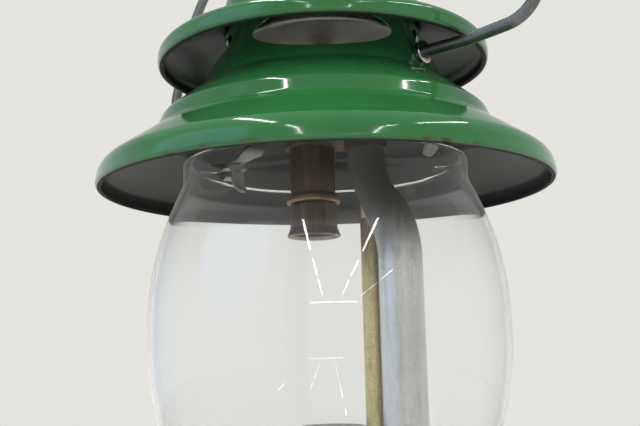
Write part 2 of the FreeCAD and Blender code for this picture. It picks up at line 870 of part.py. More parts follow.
# Tip cleaner: a lever with an eccentric pin that lifts the rod inside the generator
def make_cleaner():
    shaft_length = "lever_reach - lever_inner"
    shaft = rod("lever_shaft", "lever_radius", shaft_length, **forward("lever_height", y="-lever_inner"))
    handle_back = "lever_radius - lever_reach"
    handle = rod(
        "lever_handle_bar", "lever_radius", "lever_handle", y=handle_back, z="lever_height", pitch="90")
    tip = ball("lever_tip", "lever_tip_radius", x="lever_handle", y=handle_back, z="lever_height")
    pin_seat = forward("lever_height", x="eccentric", y="eccentric_pin_reach - lever_inner")
    cam_pin = rod("cam_pin", "eccentric_pin_radius", "2 * eccentric_pin_reach", **pin_seat)
    node("cleaning_lever", fused("lever_whole", [shaft, handle, tip, cam_pin]))
    block_foot = "lever_height - cleaner_block_height / 2"
    block_top = "lever_height + cleaner_block_height / 2"
    rod_top = "generator_end - cleaner_rod_end"
    needle = turned(
        "cleaner",
        [
            ("0", block_foot),
            ("cleaner_block_radius", block_foot),
            ("cleaner_block_radius", block_top),
            ("cleaner_rod_radius", block_top),
            ("cleaner_rod_radius", rod_top),
            ("0", rod_top),
        ],
        y="-generator_back")
    slot_half = "(eccentric_pin_radius + cleaner_slot_gap)"
    slot = block(
        "cleaner_slot",
        "2 * cleaner_block_radius",
        "eccentric_pin_reach + pass_gap",
        "2 * %s" % slot_half,
        x="-cleaner_block_radius",
        y="-lever_inner",
        z="lever_height - %s" % slot_half)
    node("cleaning_rod", cut("cleaner_slotted", needle, slot))


def make_generator():
    seat = {"y": "-generator_back"}
    bore = "generator_radius - generator_wall"
    node("generator_tube", ring("generator", bore, "generator_radius", "outlet_top", "generator_top", **seat))
    tip = turned(
        "jet",
        [
            ("generator_tip_bore", "generator_top"),
            ("generator_radius", "generator_top"),
            ("generator_radius", "generator_top + generator_tip_step"),
            ("generator_tip_radius", "generator_end"),
            ("generator_tip_bore", "generator_end"),
        ],
        **seat)
    node("generator_tip", tip)
    nut = hexagon("jam_hexagon", "jam_nut_flats", "jam_nut_height", z="outlet_top", **seat)
    nut_bore = rod("jam_bore", "generator_radius + seam_gap", "jam_nut_height", z="outlet_top", **seat)
    node("generator_nut", cut("jam_bored", nut, nut_bore))


def make_collar():
    flange = "collar_radius - collar_flange"
    drum = pressed(
        "collar_drum",
        [
            (flange, "fount_top"),
            ("collar_radius", "fount_top", "collar_round"),
            ("collar_radius", "collar_top", "collar_round"),
            (flange, "collar_top"),
        ],
        "collar_wall")
    hole_start = "-collar_radius + collar_flange"
    stem_hole = rod("stem_hole", "collar_stem_hole", "collar_radius", **forward("stem_height", y=hole_start))
    lever_hole = rod(
        "lever_hole", "collar_lever_hole", "collar_radius", **forward("lever_height", y=hole_start))
    holes = [stem_hole, lever_hole]
    for i in range(int(sizes["collar_vent_count"])):
        turn = "((%d + 0.5) * 360 / collar_vent_count)" % i
        hole = rod(
            "collar_vent%d" % i,
            "collar_vent_radius",
            "2 * collar_flange",
            x="(collar_radius - collar_flange) * sin%s" % turn,
            y="-(collar_radius - collar_flange) * cos%s" % turn,
            z="fount_top + collar_vent_rise",
            yaw=turn,
            roll="90")
        holes.append(hole)
    node("collar", cut("collar_pierced", drum, *holes))
    strap_end = "(collar_radius - collar_wall - strap_end_gap)"
    strap_low = "fount_top + collar_wall"
    flat_end = "strap_flat + strap_step"
    bridge = strip(
        "strap_bridge",
        [
            ("-%s" % strap_end, strap_low),
            ("-(%s)" % flat_end, strap_low, "strap_round"),
            ("-strap_flat", "boss_top", "strap_round"),
            ("strap_flat", "boss_top", "strap_round"),
            (flat_end, strap_low, "strap_round"),
            (strap_end, strap_low),
        ],
        "strap_wall",
        "strap_width",
        facing_front)
    strap_hole = rod("strap_hole", "spigot_radius + thread_gap", "strap_wall", z="boss_top")
    node("frame_strap", cut("strap_drilled", bridge, strap_hole))


def make_globe_rest():
    plate = pressed(
        "rest_plate",
        [
            ("0", "collar_top"),
            ("rest_radius", "collar_top", "rest_round"),
            ("rest_radius", "collar_top + rest_lip"),
        ],
        "rest_wall")
    tube_hole = rod(
        "rest_tube_hole", "air_tube_radius + seam_gap", "rest_wall", y="-air_tube_back", z="collar_top")
    fuel_hole = rod(
        "rest_fuel_hole", "generator_radius + pass_gap", "rest_wall", y="-generator_back", z="collar_top")
    node("globe_rest", cut("rest_drilled", plate, tube_hole, fuel_hole))
    shield_top = "globe_seat + heat_shield_height"
    shield = pressed(
        "shield_cup",
        [
            ("heat_shield_radius", "globe_seat"),
            ("heat_shield_radius", shield_top, "heat_shield_round"),
            ("0", shield_top),
        ],
        "heat_shield_wall")
    node("heat_shield", shield)


def make_globe():
    middle = "globe_seat + globe_height / 2"
    chimney = pressed(
        "chimney",
        [
            ("globe_rim_radius", "globe_seat"),
            ("globe_rim_radius", "globe_seat + globe_neck", "globe_neck_round"),
            ("globe_belly_radius", "%s - globe_belly_half" % middle, "globe_belly_round"),
            ("globe_belly_radius", "%s + globe_belly_half" % middle, "globe_belly_round"),
            ("globe_rim_radius", "globe_rim - globe_neck", "globe_neck_round"),
            ("globe_rim_radius", "globe_rim"),
        ],
        "globe_wall")
    node("globe", chimney)


# The air tube rises from the globe rest, leans in below the rim and narrows on the slant
def bent_tube(name, low_spine, high_spine, inset):
    slant_y = "taper_start * sin(tube_slant)"
    slant_z = "taper_start * cos(tube_slant)"
    wide = "air_tube_radius - %s" % inset
    narrow = "mixing_radius - %s" % inset
    low = swept(name + "_low", low_spine, wide, y="-air_tube_back", z="tube_foot")
    taper = doc.addObject("Part::Cone", name + "_taper")
    bind(taper, Radius1=wide, Radius2=narrow, Height="taper_length")
    place(
        taper,
        y="-air_tube_back + %s" % slant_y,
        z="tube_low_bend + %s" % slant_z,
        roll="-tube_slant")
    high = swept(
        name + "_high",
        high_spine,
        narrow,
        y="-mixing_back - %s" % slant_y,
        z="tube_high_bend - %s" % slant_z,
        roll="-tube_slant")
    return fused(name, [low, taper, high])


def make_air_tube():
    slant_y = "taper_start * sin(tube_slant)"
    slant_z = "taper_start * cos(tube_slant)"
    low_spine = path(
        "tube_low_path",
        [
            ("-air_tube_back", "tube_foot"),
            ("-air_tube_back", "tube_low_bend", "tube_round"),
            ("-air_tube_back + %s" % slant_y, "tube_low_bend + %s" % slant_z),
        ],
        facing_side)
    high_spine = path(
        "tube_high_path",
        [
            ("-mixing_back - %s" % slant_y, "tube_high_bend - %s" % slant_z),
            ("-mixing_back", "tube_high_bend", "tube_round"),
            ("-mixing_back", "tube_end"),
        ],
        facing_side)
    outside = bent_tube("tube_outside", low_spine, high_spine, "0")
    inside = bent_tube("tube_inside", low_spine, high_spine, "tube_wall")
    jet_hole = rod(
        "jet_hole",
        "generator_radius + pass_gap",
        "generator_end - jet_hole_foot",
        y="-generator_back",
        z="jet_hole_foot")
    node("air_tube", cut("tube_bored", outside, inside, jet_hole))
    collar_foot = "manifold_foot - mixing_collar_height"
    collar = ring(
        "mixing_ring",
        "mixing_radius + seam_gap",
        "mixing_collar_radius",
        collar_foot,
        "manifold_foot",
        y="-mixing_back")
    node("mixing_collar", collar)


def long_chamber(name, radius, low, height):
    ends = [
        rod(name + "_front", radius, height, y="-mixing_back", z=low),
        rod(name + "_back", radius, height, y="burner_back", z=low),
    ]
    middle = block(
        name + "_middle",
        "2 * (%s)" % radius,
        "mixing_back + burner_back",
        height,
        x="-(%s)" % radius,
        y="-mixing_back",
        z=low)
    return fused(name, ends + [middle])


def make_burner():
    casting = long_chamber("manifold_outside", "manifold_radius", "manifold_foot", "manifold_height")
    hollow = long_chamber(
        "manifold_inside",
        "manifold_radius - manifold_wall",
        "manifold_foot + manifold_wall",
        "manifold_height - 2 * manifold_wall")
    inlet = rod(
        "manifold_inlet", "mixing_radius + seam_gap", "manifold_height / 2",
        y="-mixing_back", z="manifold_foot")
    outlet = rod(
        "manifold_outlet", "burner_tube_radius + seam_gap", "manifold_height / 2",
        y="burner_back", z="manifold_foot")
    node("burner_manifold", cut("manifold_bored", casting, hollow, inlet, outlet))
    seat = {"y": "burner_back"}
    bore = "burner_tube_radius - burner_tube_wall"
    node("burner_tube", ring("burner_pipe", bore, "burner_tube_radius", "burner_cap_top", "tube_end", **seat))
    collar_top = "burner_cap_top + burner_collar_height"
    bead = turned(
        "burner_bead",
        [
            ("burner_tube_radius + seam_gap", "burner_cap_top"),
            ("burner_collar_radius", "burner_cap_top", "burner_collar_round"),
            ("burner_collar_radius", collar_top, "burner_collar_round"),
            ("burner_tube_radius + seam_gap", collar_top),
        ],
        **seat)
    node("burner_collar", bead)
    cup = pressed(
        "burner_cup",
        [
            ("burner_lip_radius", "burner_mouth"),
            ("burner_cap_radius", "burner_mouth + burner_lip_height", "burner_cap_round"),
            ("burner_cap_radius", "burner_cap_top", "burner_cap_round"),
            ("burner_cap_radius - burner_cap_seat", "burner_cap_top"),
        ],
        "burner_cap_wall")
    node("burner_cap", place(cup, **seat))
    screen_foot = "burner_mouth + burner_screen_lift"
    screen_radius = "burner_cap_radius - burner_cap_wall - seam_gap"
    screen = rod("screen", screen_radius, "burner_screen_thickness", z=screen_foot, **seat)
    node("burner_screen", screen)


def make_crossbar():
    tab_end = "(shoulder_foot_radius - tab_inset)"
    tab_height = "shoulder_foot - tab_drop"
    bar = strip(
        "crossbar_strip",
        [
            ("-%s" % tab_end, tab_height),
            ("-crossbar_arm_end", "arm_end_height", "crossbar_round"),
            ("-crossbar_flat", "manifold_top", "crossbar_round"),
            ("crossbar_flat", "manifold_top", "crossbar_round"),
            ("crossbar_arm_end", "arm_end_height", "crossbar_round"),
            (tab_end, tab_height),
        ],
        "-crossbar_wall",
        "crossbar_width",
        facing_side)
    legs = []
    leg_places = (("crossbar_leg_front", "-leg_back - crossbar_wall"), ("crossbar_leg_rear", "leg_back"))
    for name, back in leg_places:
        leg = block(
            name,
            "crossbar_leg_width",
            "crossbar_wall",
            "leg_top - leg_foot",
            x="-crossbar_leg_width / 2",
            y=back,
            z="leg_foot")
        legs.append(leg)
    stud_hole = rod("crossbar_hole", "stud_radius + seam_gap", "crossbar_wall", z="manifold_top")
    node("crossbar", cut("crossbar_drilled", fused("crossbar_bent", [bar] + legs), stud_hole))
    stud = turned(
        "stud",
        [
            ("0", "manifold_top"),
            ("stud_radius", "manifold_top"),
            ("stud_radius", "crossbar_top"),
            ("stud_pillar_radius", "crossbar_top"),
            ("stud_pillar_radius", "baffle_height"),
            ("stud_radius", "baffle_height"),
            ("stud_radius", "crown_top + stud_end"),
            ("0", "crown_top + stud_end"),
        ])
    node("top_stud", stud)


def make_ventilator():
    brim = pressed(
        "brim",
        [
            ("brim_radius - brim_lip", "brim_edge"),
            ("brim_radius", "brim_edge", "lip_round"),
            ("brim_radius - brim_taper", "brim_crease", "crease_round"),
            ("shoulder_foot_radius", "shoulder_foot", "foot_crease_round"),
            ("shoulder_radius", "shoulder_top", "shoulder_edge_round"),
            ("neck_foot_radius", "neck_foot", "neck_foot_round"),
            ("neck_flange_radius", "neck_top", "neck_top_round"),
            ("neck_flange_radius", "neck_top + neck_flange"),
        ],
        "enamel_wall")
    openings = []
    for name, turn in (("window_pair_left", "window_turn"), ("window_pair_right", "window_turn + 90")):
        ellipse = doc.addObject("Part::Ellipse", name + "_outline")
        bind(ellipse, MajorRadius="window_half_width", MinorRadius="window_half_height")
        place(ellipse, z="neck_foot + window_rise", roll="90")
        window = doc.addObject("Part::Extrusion", name)
        window.Base = ellipse
        window.DirMode = "Normal"
        window.Symmetric = True
        window.Solid = True
        bind(window, LengthFwd="2 * shoulder_radius")
        openings.append(place(window, yaw=turn))
    eyelet_holes = rod(
        "eyelet_holes",
        "eyelet_radius + seam_gap",
        "2 * shoulder_radius",
        y="shoulder_radius",
        z="ear_height",
        roll="90")
    node("ventilator_body", cut("brim_pierced", brim, eyelet_holes, *openings))
    hood = pressed(
        "hood",
        [
            ("hood_radius - hood_lip", "hood_edge"),
            ("hood_radius", "hood_edge", "lip_round"),
            ("hood_radius", "hood_corner", "hood_round"),
            ("crown_radius", "crown_foot", "crown_foot_round"),
            ("crown_radius", "crown_top", "crown_round"),
            ("stud_radius + pass_gap", "crown_top"),
        ],
        "enamel_wall")
    node("ventilator_hood", hood)
    baffle = pressed(
        "baffle",
        [
            ("stud_radius + seam_gap", "baffle_height"),
            ("baffle_radius", "baffle_height", "baffle_round"),
            ("baffle_radius", "baffle_height + baffle_rim"),
        ],
        "baffle_wall")
    node("baffle_plate", baffle)
    foot = rod("ball_foot", "ball_foot_radius", "ball_foot_height", z="crown_top")
    waist = rod("ball_waist", "ball_waist_radius", "ball_lift", z="crown_top")
    head = ball("ball_head", "ball_radius", z="crown_top + ball_lift")
    thread = rod("ball_thread", "stud_radius + shaft_gap", "stud_end + pass_gap", z="crown_top")
    node("ball_nut", cut("ball_bored", fused("ball_whole", [foot, waist, head]), thread))


def make_bail():
    rings = []
    for name, roll in (("eyelet_front", "90"), ("eyelet_rear", "-90")):
        corners = [
            ("eyelet_bore", "eyelet_inner"),
            ("eyelet_radius", "eyelet_inner"),
            ("eyelet_radius", "eyelet_outer - eyelet_lip"),
            ("eyelet_lip_radius", "eyelet_outer - eyelet_lip"),
            ("eyelet_lip_radius", "eyelet_outer"),
            ("eyelet_bore", "eyelet_outer"),
        ]
        rings.append(turned(name, corners, z="ear_height", roll=roll))
    eyelets = doc.addObject("Part::Compound", "eyelet_pair")
    eyelets.Links = rings
    node("bail_eyelets", eyelets)
    spine = path(
        "bail_path",
        [
            ("-bail_end", "0"),
            ("-bail_straight", "0", "bail_leg_round"),
            ("-bail_half_span", "bail_leg_rise", "bail_leg_round"),
            ("-bail_half_span", "bail_height", "bail_arch_round"),
            ("bail_half_span", "bail_height", "bail_arch_round"),
            ("bail_half_span", "bail_leg_rise", "bail_leg_round"),
            ("bail_straight", "0", "bail_leg_round"),
            ("bail_end", "0"),
        ],
        facing_side)
    wire = swept("bail_wire", spine, "bail_wire_radius", y="-bail_end", roll="90")
    front_head = rod("bail_head_front", "bail_head_radius", "bail_head_thickness", y="-bail_end", roll="90")
    rear_head = rod("bail_head_rear", "bail_head_radius", "bail_head_thickness", y="bail_end", roll="-90")
    handle = fused("bail_whole", [wire, front_head, rear_head])
    node("bail", place(handle, z="ear_height", pitch="bail_lean_angle"))


def write_parts():
    doc.recompute()
    faults = []
    for thing in doc.Objects:
        if "Invalid" in thing.State or "Error" in thing.State:
            faults.append("%s is %s" % (thing.Name, thing.State))
    for thing in nodes:
        if thing.Shape.isNull() or not thing.Shape.isValid():
            faults.append("%s has no valid shape" % thing.Label)
    if faults:
        raise SystemExit("\n".join(faults))
    os.makedirs("parts", exist_ok=True)
    for thing in nodes:
        thing.Shape.exportStep("parts/%s.step" % thing.Label)
        solids = thing.Shape.Solids
        print("%-18s %d solid(s) %10.1f mm3" % (thing.Label, len(solids), thing.Shape.Volume))


fill_sheet()
make_fount()
make_filler()
make_pump()
make_valve()
make_wheel()
make_cleaner()
make_generator()
make_collar()
make_globe_rest()
make_globe()
make_air_tube()
make_burner()
make_crossbar()
make_ventilator()
make_bail()
write_parts()
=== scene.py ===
import math
import bmesh
import bpy
from mathutils import Matrix, Vector


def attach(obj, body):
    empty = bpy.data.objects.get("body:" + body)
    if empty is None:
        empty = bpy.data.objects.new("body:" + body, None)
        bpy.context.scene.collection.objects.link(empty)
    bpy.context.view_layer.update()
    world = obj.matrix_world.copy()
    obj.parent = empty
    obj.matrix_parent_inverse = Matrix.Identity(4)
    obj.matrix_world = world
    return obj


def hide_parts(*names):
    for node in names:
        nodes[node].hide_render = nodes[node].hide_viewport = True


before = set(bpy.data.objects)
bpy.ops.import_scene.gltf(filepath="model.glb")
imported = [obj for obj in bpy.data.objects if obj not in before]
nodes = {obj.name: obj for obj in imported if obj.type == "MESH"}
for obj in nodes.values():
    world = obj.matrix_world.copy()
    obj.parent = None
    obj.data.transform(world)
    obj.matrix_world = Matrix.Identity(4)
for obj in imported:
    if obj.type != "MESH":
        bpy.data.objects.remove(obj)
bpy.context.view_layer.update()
mm = 0.001
upAxis = Vector((0, 0, 1))
print("frame loaded, nodes:", len(nodes))


# shader maths as expressions
class Signal:
    def __init__(self, tree, socket=None):
        self.tree = tree
        self.socket = socket

    def make(self, kind, settings=None, inputs=None, out=0):
        made = self.tree.nodes.new(kind)
        for key, value in (settings or {}).items():
            setattr(made, key, value)
        for key, value in (inputs or {}).items():
            if isinstance(value, Signal):
                self.tree.links.new(value.socket, made.inputs[key])
            else:
                made.inputs[key].default_value = value
        return Signal(self.tree, made.outputs[out] if made.outputs else None)

    def calc(self, operation, first, second):
        return self.make("ShaderNodeMath", {"operation": operation}, {0: first, 1: second})

    def __add__(self, other): return self.calc("ADD", self, other)
    def __radd__(self, other): return self.calc("ADD", other, self)
    def __sub__(self, other): return self.calc("SUBTRACT", self, other)
    def __rsub__(self, other): return self.calc("SUBTRACT", other, self)
    def __mul__(self, other): return self.calc("MULTIPLY", self, other)
    def __rmul__(self, other): return self.calc("MULTIPLY", other, self)

    def most(self, other): return self.calc("MAXIMUM", self, other)

    def fade(self, low, high, start=0.0, end=1.0):
        return self.make("ShaderNodeMapRange", {"interpolation_type": "SMOOTHSTEP"},
                         {0: self, 1: low, 2: high, 3: start, 4: end})

    def tint(self, first, second):
        first = first if isinstance(first, Signal) else (*first, 1)
        second = second if isinstance(second, Signal) else (*second, 1)
        return self.make("ShaderNodeMix", {"data_type": "RGBA"}, {0: self, 6: first, 7: second}, 2)


def newFinish(name):
    finish = bpy.data.materials.new(name)
    finish.use_nodes = True
    finish.node_tree.nodes.clear()
    return finish, Signal(finish.node_tree)


def place(start, scale=(1, 1, 1)):
    coords = start.make("ShaderNodeTexCoord", out=3)        # object coordinates
    return start.make("ShaderNodeMapping", None, {"Vector": coords, "Scale": scale})


def noise(where, scale, detail=2.0, rough=0.5, warp=0.0):
    return where.make("ShaderNodeTexNoise", None,
                      {"Vector": where, "Scale": scale, "Detail": detail, "Roughness": rough, "Distortion": warp})


def measured(start, axis):          # 0, 1 or 2 for x, y or z
    return start.make("ShaderNodeSeparateXYZ", None, {0: place(start)}, axis)


def heights(start):
    return measured(start, 2)


def bumped(height, strength, distance, under=None):
    inputs = {"Height": height, "Strength": strength, "Distance": distance}
    if under is not None:
        inputs["Normal"] = under
    return height.make("ShaderNodeBump", None, inputs)


def closeFinish(finish, start, inputs):
    shader = start.make("ShaderNodeBsdfPrincipled", None, inputs)
    start.make("ShaderNodeOutputMaterial", None, {"Surface": shader})
    return finish


# finishes
outerEnamel = {
    "deep": (0.019, 0.132, 0.032), "light": (0.031, 0.186, 0.053), "rust": (0.085, 0.043, 0.018),
    "bare": (0.020, 0.017, 0.013), "pit": (0.012, 0.016, 0.010), "pitShare": 0.7, "gloss": 0.07, "coat": 0.4,
    "coatRough": 0.04, "specular": 0.4, "bareLip": (0.5, 0.2),
    "cloudScale": 16, "swellScale": 34, "spotScale": 60, "chipScale": 190, "peelScale": 520, "pitScale": 900,
    "swell": (0.10, 0.0012), "peel": (0.05, 0.0003),
}


# lips: below the first height the edge is bare, and up to the second it is chipped and rusty
def greenEnamel(name, lips):
    look = outerEnamel
    finish, start = newFinish(name)
    where = place(start)
    clouds = noise(where, look["cloudScale"], 3)
    pits = noise(where, look["pitScale"], 2, 0.6).fade(0.71, 0.76)
    tone = clouds.fade(0.3, 0.7).tint(look["deep"], look["light"])
    tone = (pits * look["pitShare"]).tint(tone, look["pit"])
    up = heights(start)
    worn = up.fade(lips[0] * mm, lips[1] * mm, 1.0, 0.0)
    chips = noise(where, look["chipScale"], 4, 0.65).fade(0.52, 0.66)
    spots = noise(where, look["spotScale"], 2).fade(0.45, 0.62)
    rust = worn * chips * spots
    tone = rust.tint(tone, look["rust"])
    bareLow, bareHigh = ((lips[0] - below) * mm for below in look["bareLip"])
    bare = up.fade(bareLow, bareHigh, 1.0, 0.0)
    tone = bare.tint(tone, look["bare"])
    rough = look["gloss"] + clouds * 0.06 + rust * 0.45 + bare * 0.6
    peel = bumped(noise(where, look["peelScale"], 1), *look["peel"])
    normal = bumped(noise(where, look["swellScale"], 1), *look["swell"], peel)
    return closeFinish(finish, start, {
        "Base Color": tone, "Roughness": rough, "Normal": normal,
        "Coat Weight": look["coat"] * (1.0 - rust.most(bare)), "Coat Roughness": look["coatRough"],
        "Specular IOR Level": look["specular"]})


# black is the colour of the painted shade band on the inner lip wall
underEnamel = {
    "grey": (0.059, 0.061, 0.057), "pale": (0.092, 0.094, 0.088), "black": (0.006, 0.007, 0.006),
    "lip": (0.050, 0.045, 0.036), "lipHeight": 0.7, "shadeSway": 0.0012, "gloss": 0.34, "coat": 0.15,
    "coatRough": 0.12, "specular": 0.3, "cloudScale": 22, "grainScale": 700, "grain": (0.06, 0.0003),
}


# a tinted lip, then a black band of painted shade on the inner lip wall that fades out between two heights
def innerEnamel(name, lip, shadeLow, shadeHigh):
    look = underEnamel
    finish, start = newFinish(name)
    where = place(start)
    clouds = noise(where, look["cloudScale"], 4, 0.6)
    grain = noise(where, look["grainScale"], 2)
    tone = clouds.fade(0.3, 0.7).tint(look["grey"], look["pale"])
    up = heights(start)
    edge = up + (clouds - 0.5) * look["shadeSway"]
    # painted shade: the inner lip wall is blackened where it lies in shade and reflects dark
    black = edge.fade(shadeLow * mm, shadeHigh * mm, 1.0, 0.0)
    tone = black.tint(tone, look["black"])
    tone = up.fade(lip * mm, (lip + look["lipHeight"]) * mm, 1.0, 0.0).tint(tone, look["lip"])
    rough = look["gloss"] + clouds * 0.12 + black * 0.1
    return closeFinish(finish, start, {
        "Base Color": tone, "Roughness": rough, "Normal": bumped(grain, *look["grain"]),
        "Coat Weight": look["coat"] - black * look["coat"], "Coat Roughness": look["coatRough"],
        "Specular IOR Level": look["specular"]})


globeLook = {
    "tint": (0.992, 0.998, 0.996, 1), "clear": 0.98, "sheen": 0.85, "sheenRough": 0.35, "index": 1.47,
    "rippleScale": 26, "ripple": (0.04, 0.0006), "smearScale": 48, "smearRough": 0.035,
}


def clearGlass(name):
    look = globeLook
    finish, start = newFinish(name)
    where = place(start)
    ripple = noise(where, look["rippleScale"], 2)
    smear = noise(where, look["smearScale"], 3, 0.6, 0.6).fade(0.55, 0.75)
    return closeFinish(finish, start, {
        "Base Color": look["tint"], "Roughness": smear * look["smearRough"], "Transmission Weight": look["clear"],
        "Sheen Weight": look["sheen"], "Sheen Roughness": look["sheenRough"], "IOR": look["index"],
        "Normal": bumped(ripple, *look["ripple"])})


metalLook = {
    "cloudScale": 30, "fineScale": 6, "fineShare": 0.35, "grainScale": 1500, "grainShare": 0.4, "stainScale": 75,
}


# two tones that cloud over, a third in streaks and grain, a fourth in stains, and the last where the shade mask
# darkens it: heat stain on the tube and burner, painted shade in the burner mouth and the crossbar's middle
def metal(name, tones, rough, streaks, streakScale, depth, patina, shade=None, scratch=0.5):
    look = metalLook
    finish, start = newFinish(name)
    where = place(start)
    drawn = place(start, streaks)
    clouds = noise(where, look["cloudScale"], 4, 0.6)
    lines = noise(drawn, streakScale, 3, 0.6)
    fine = noise(drawn, streakScale * look["fineScale"], 2)
    grain = noise(where, look["grainScale"], 2)
    stain = noise(where, look["stainScale"], 5, 0.65)
    tone = clouds.fade(0.28, 0.72).tint(tones[0], tones[1])
    tone = (lines.fade(0.5, 0.72) * scratch).tint(tone, tones[2])
    tone = (fine.fade(0.50, 0.75) * look["fineShare"]).tint(tone, tones[2])
    tone = (grain.fade(0.42, 0.72) * look["grainShare"]).tint(tone, tones[2])
    tone = (stain.fade(0.56, 0.70) * patina).tint(tone, tones[3])
    metallic = 1.0
    if shade is not None:
        dark = shade(start, lines)
        tone = dark.tint(tone, tones[-1])
        metallic = 1.0 - dark * 0.55
        gloss = rough + lines * 0.14 + dark * 0.22
    else:
        gloss = rough + lines * 0.16 + (clouds - 0.5) * 0.1
    return closeFinish(finish, start, {
        "Base Color": tone, "Metallic": metallic, "Roughness": gloss,
        "Normal": bumped(grain, depth * 2, 0.0002, bumped(lines, depth, 0.0003))})


def tubeHeat(start, lines):
    return (heights(start) + (lines - 0.5) * 0.010).fade(0.192, 0.222)


def burnerHeat(start, lines):
    return 0.62 - lines.fade(0.42, 0.62) * 0.55


# painted shade: the inside of the burner mouth above the lip is darkened
def mouthInnerShade(start, lines):
    return heights(start).fade(0.2112, 0.2121)


def barMiddleShade(start, lines):          # painted shade: the crossbar's middle is darkened, so only its sloped arms show light
    along = measured(start, 1)
    return (along.most(0.0 - along) + (lines - 0.5) * 0.002).fade(0.0325, 0.0375, 1.0, 0.0)


def plainFinish(name, tones, rough, grainScale, depth, coat=0.0):
    finish, start = newFinish(name)
    where = place(start)
    clouds = noise(where, 40, 4, 0.6)
    grain = noise(where, grainScale, 3, 0.6)
    tone = clouds.fade(0.3, 0.7).tint(tones[0], tones[1])
    return closeFinish(finish, start, {
        "Base Color": tone, "Roughness": rough + (grain - 0.5) * 0.2, "Normal": bumped(grain, depth, 0.0003),
        "Coat Weight": coat, "Coat Roughness": 0.1})


screenLook = {"wireScale": 260.0, "gap": (0.006, 0.005, 0.004), "wire": (0.085, 0.066, 0.045)}


def screenFinish(name):
    finish, start = newFinish(name)
    where = place(start)
    rows, cols = (
        start.make("ShaderNodeSeparateColor", None, {0: start.make(
            "ShaderNodeTexWave", {"bands_direction": way}, {"Vector": where, "Scale": screenLook["wireScale"]})})
        for way in "XY")
    wires = rows.most(cols)
    tone = wires.fade(0.35, 0.75).tint(screenLook["gap"], screenLook["wire"])
    return closeFinish(finish, start, {
        "Base Color": tone, "Metallic": 0.5, "Roughness": 0.75 - wires * 0.2, "Normal": bumped(wires, 0.6, 0.0004)})


greenShell = greenEnamel("greenEnamel", (226.6, 228.2))
greenHood = greenEnamel("greenHoodEnamel", (270.6, 272.0))
greenPaint = greenEnamel("greenFountPaint", (5.5, 8.0))
brimInside = innerEnamel("greyBrimEnamel", 227.2, 231.0, 232.3)
hoodInside = innerEnamel("greyHoodEnamel", 270.9, 273.0, 274.4)
glass = clearGlass("clearGlass")
tubeSteel = metal("drawnTubeSteel", [(0.58, 0.58, 0.565), (0.76, 0.76, 0.745), (0.43, 0.42, 0.395),
                  (0.30, 0.28, 0.245), (0.190, 0.182, 0.158)], 0.25, (1, 1, 0.05), 420, 0.16, 0.45, tubeHeat)
burntSteel = metal("burntSteel", [(0.205, 0.150, 0.084), (0.292, 0.208, 0.112), (0.115, 0.088, 0.054),
                   (0.25, 0.150, 0.066), (0.080, 0.064, 0.043)], 0.42, (1, 1, 0.06), 330, 0.2, 0.5, burnerHeat)
capSteel = metal("burntCapSteel", [(0.28, 0.222, 0.150), (0.38, 0.300, 0.205), (0.155, 0.122, 0.086),
                 (0.30, 0.180, 0.090), (0.10, 0.083, 0.062)], 0.38, (1, 1, 0.08), 300, 0.2, 0.5, burnerHeat)
# the last tone is the painted shade inside the burner mouth
mouthSteel = metal("burntMouthSteel", [(0.42, 0.38, 0.31), (0.54, 0.49, 0.41), (0.28, 0.24, 0.19),
                   (0.30, 0.22, 0.14), (0.085, 0.074, 0.058)], 0.34, (1, 1, 0.2), 260, 0.15, 0.5, mouthInnerShade)
beadSteel = metal("burntBeadSteel", [(0.33, 0.22, 0.105), (0.44, 0.30, 0.15), (0.20, 0.14, 0.076),
                  (0.24, 0.14, 0.065)], 0.30, (1, 1, 0.2), 260, 0.15, 0.5)
oliveBrass = metal("agedBrass", [(0.54, 0.44, 0.165), (0.70, 0.58, 0.26), (0.31, 0.245, 0.095),
                   (0.20, 0.16, 0.07)], 0.30, (1, 1, 0.3), 380, 0.16, 0.8)
warmBrass = metal("castBrass", [(0.44, 0.32, 0.11), (0.56, 0.41, 0.16), (0.33, 0.24, 0.09),
                  (0.20, 0.14, 0.06)], 0.30, (1, 1, 1), 140, 0.1, 0.35)
zincWire = metal("zincWire", [(0.155, 0.165, 0.158), (0.22, 0.235, 0.226), (0.10, 0.108, 0.10),
                 (0.10, 0.096, 0.084)], 0.36, (1, 0.1, 0.1), 260, 0.14, 0.5)
plateSteel = metal("greySheetSteel", [(0.27, 0.265, 0.235), (0.36, 0.355, 0.32), (0.19, 0.182, 0.158),
                   (0.15, 0.12, 0.085)], 0.34, (1, 0.08, 1), 240, 0.12, 0.6)
# the last tone is the painted shade on the crossbar's middle
clipSteel = metal("brightSheetSteel", [(0.40, 0.39, 0.36), (0.54, 0.53, 0.50), (0.28, 0.27, 0.25),
                  (0.22, 0.19, 0.15), (0.055, 0.050, 0.043)], 0.22, (0.08, 1, 1), 240, 0.1, 0.45, barMiddleShade)
rodSteel = metal("turnedSteel", [(0.50, 0.50, 0.49), (0.60, 0.60, 0.59), (0.38, 0.38, 0.37),
                 (0.25, 0.23, 0.20)], 0.24, (1, 1, 1), 200, 0.08, 0.25)
nickel = metal("nickelPlate", [(0.58, 0.565, 0.53), (0.66, 0.645, 0.61), (0.50, 0.485, 0.45),
               (0.36, 0.33, 0.28)], 0.14, (1, 1, 0.1), 120, 0.03, 0.25, scratch=0.25)
aluminium = metal("drawnAluminium", [(0.62, 0.62, 0.62), (0.70, 0.70, 0.70), (0.52, 0.52, 0.52),
                  (0.42, 0.41, 0.40)], 0.30, (1, 1, 0.1), 200, 0.08, 0.2)
blackPlastic = plainFinish("blackPlastic", [(0.011, 0.011, 0.012), (0.018, 0.018, 0.019)], 0.38, 900, 0.12, 0.15)
corkRubber = plainFinish("corkRubber", [(0.05, 0.035, 0.022), (0.10, 0.07, 0.04)], 0.8, 420, 0.4)
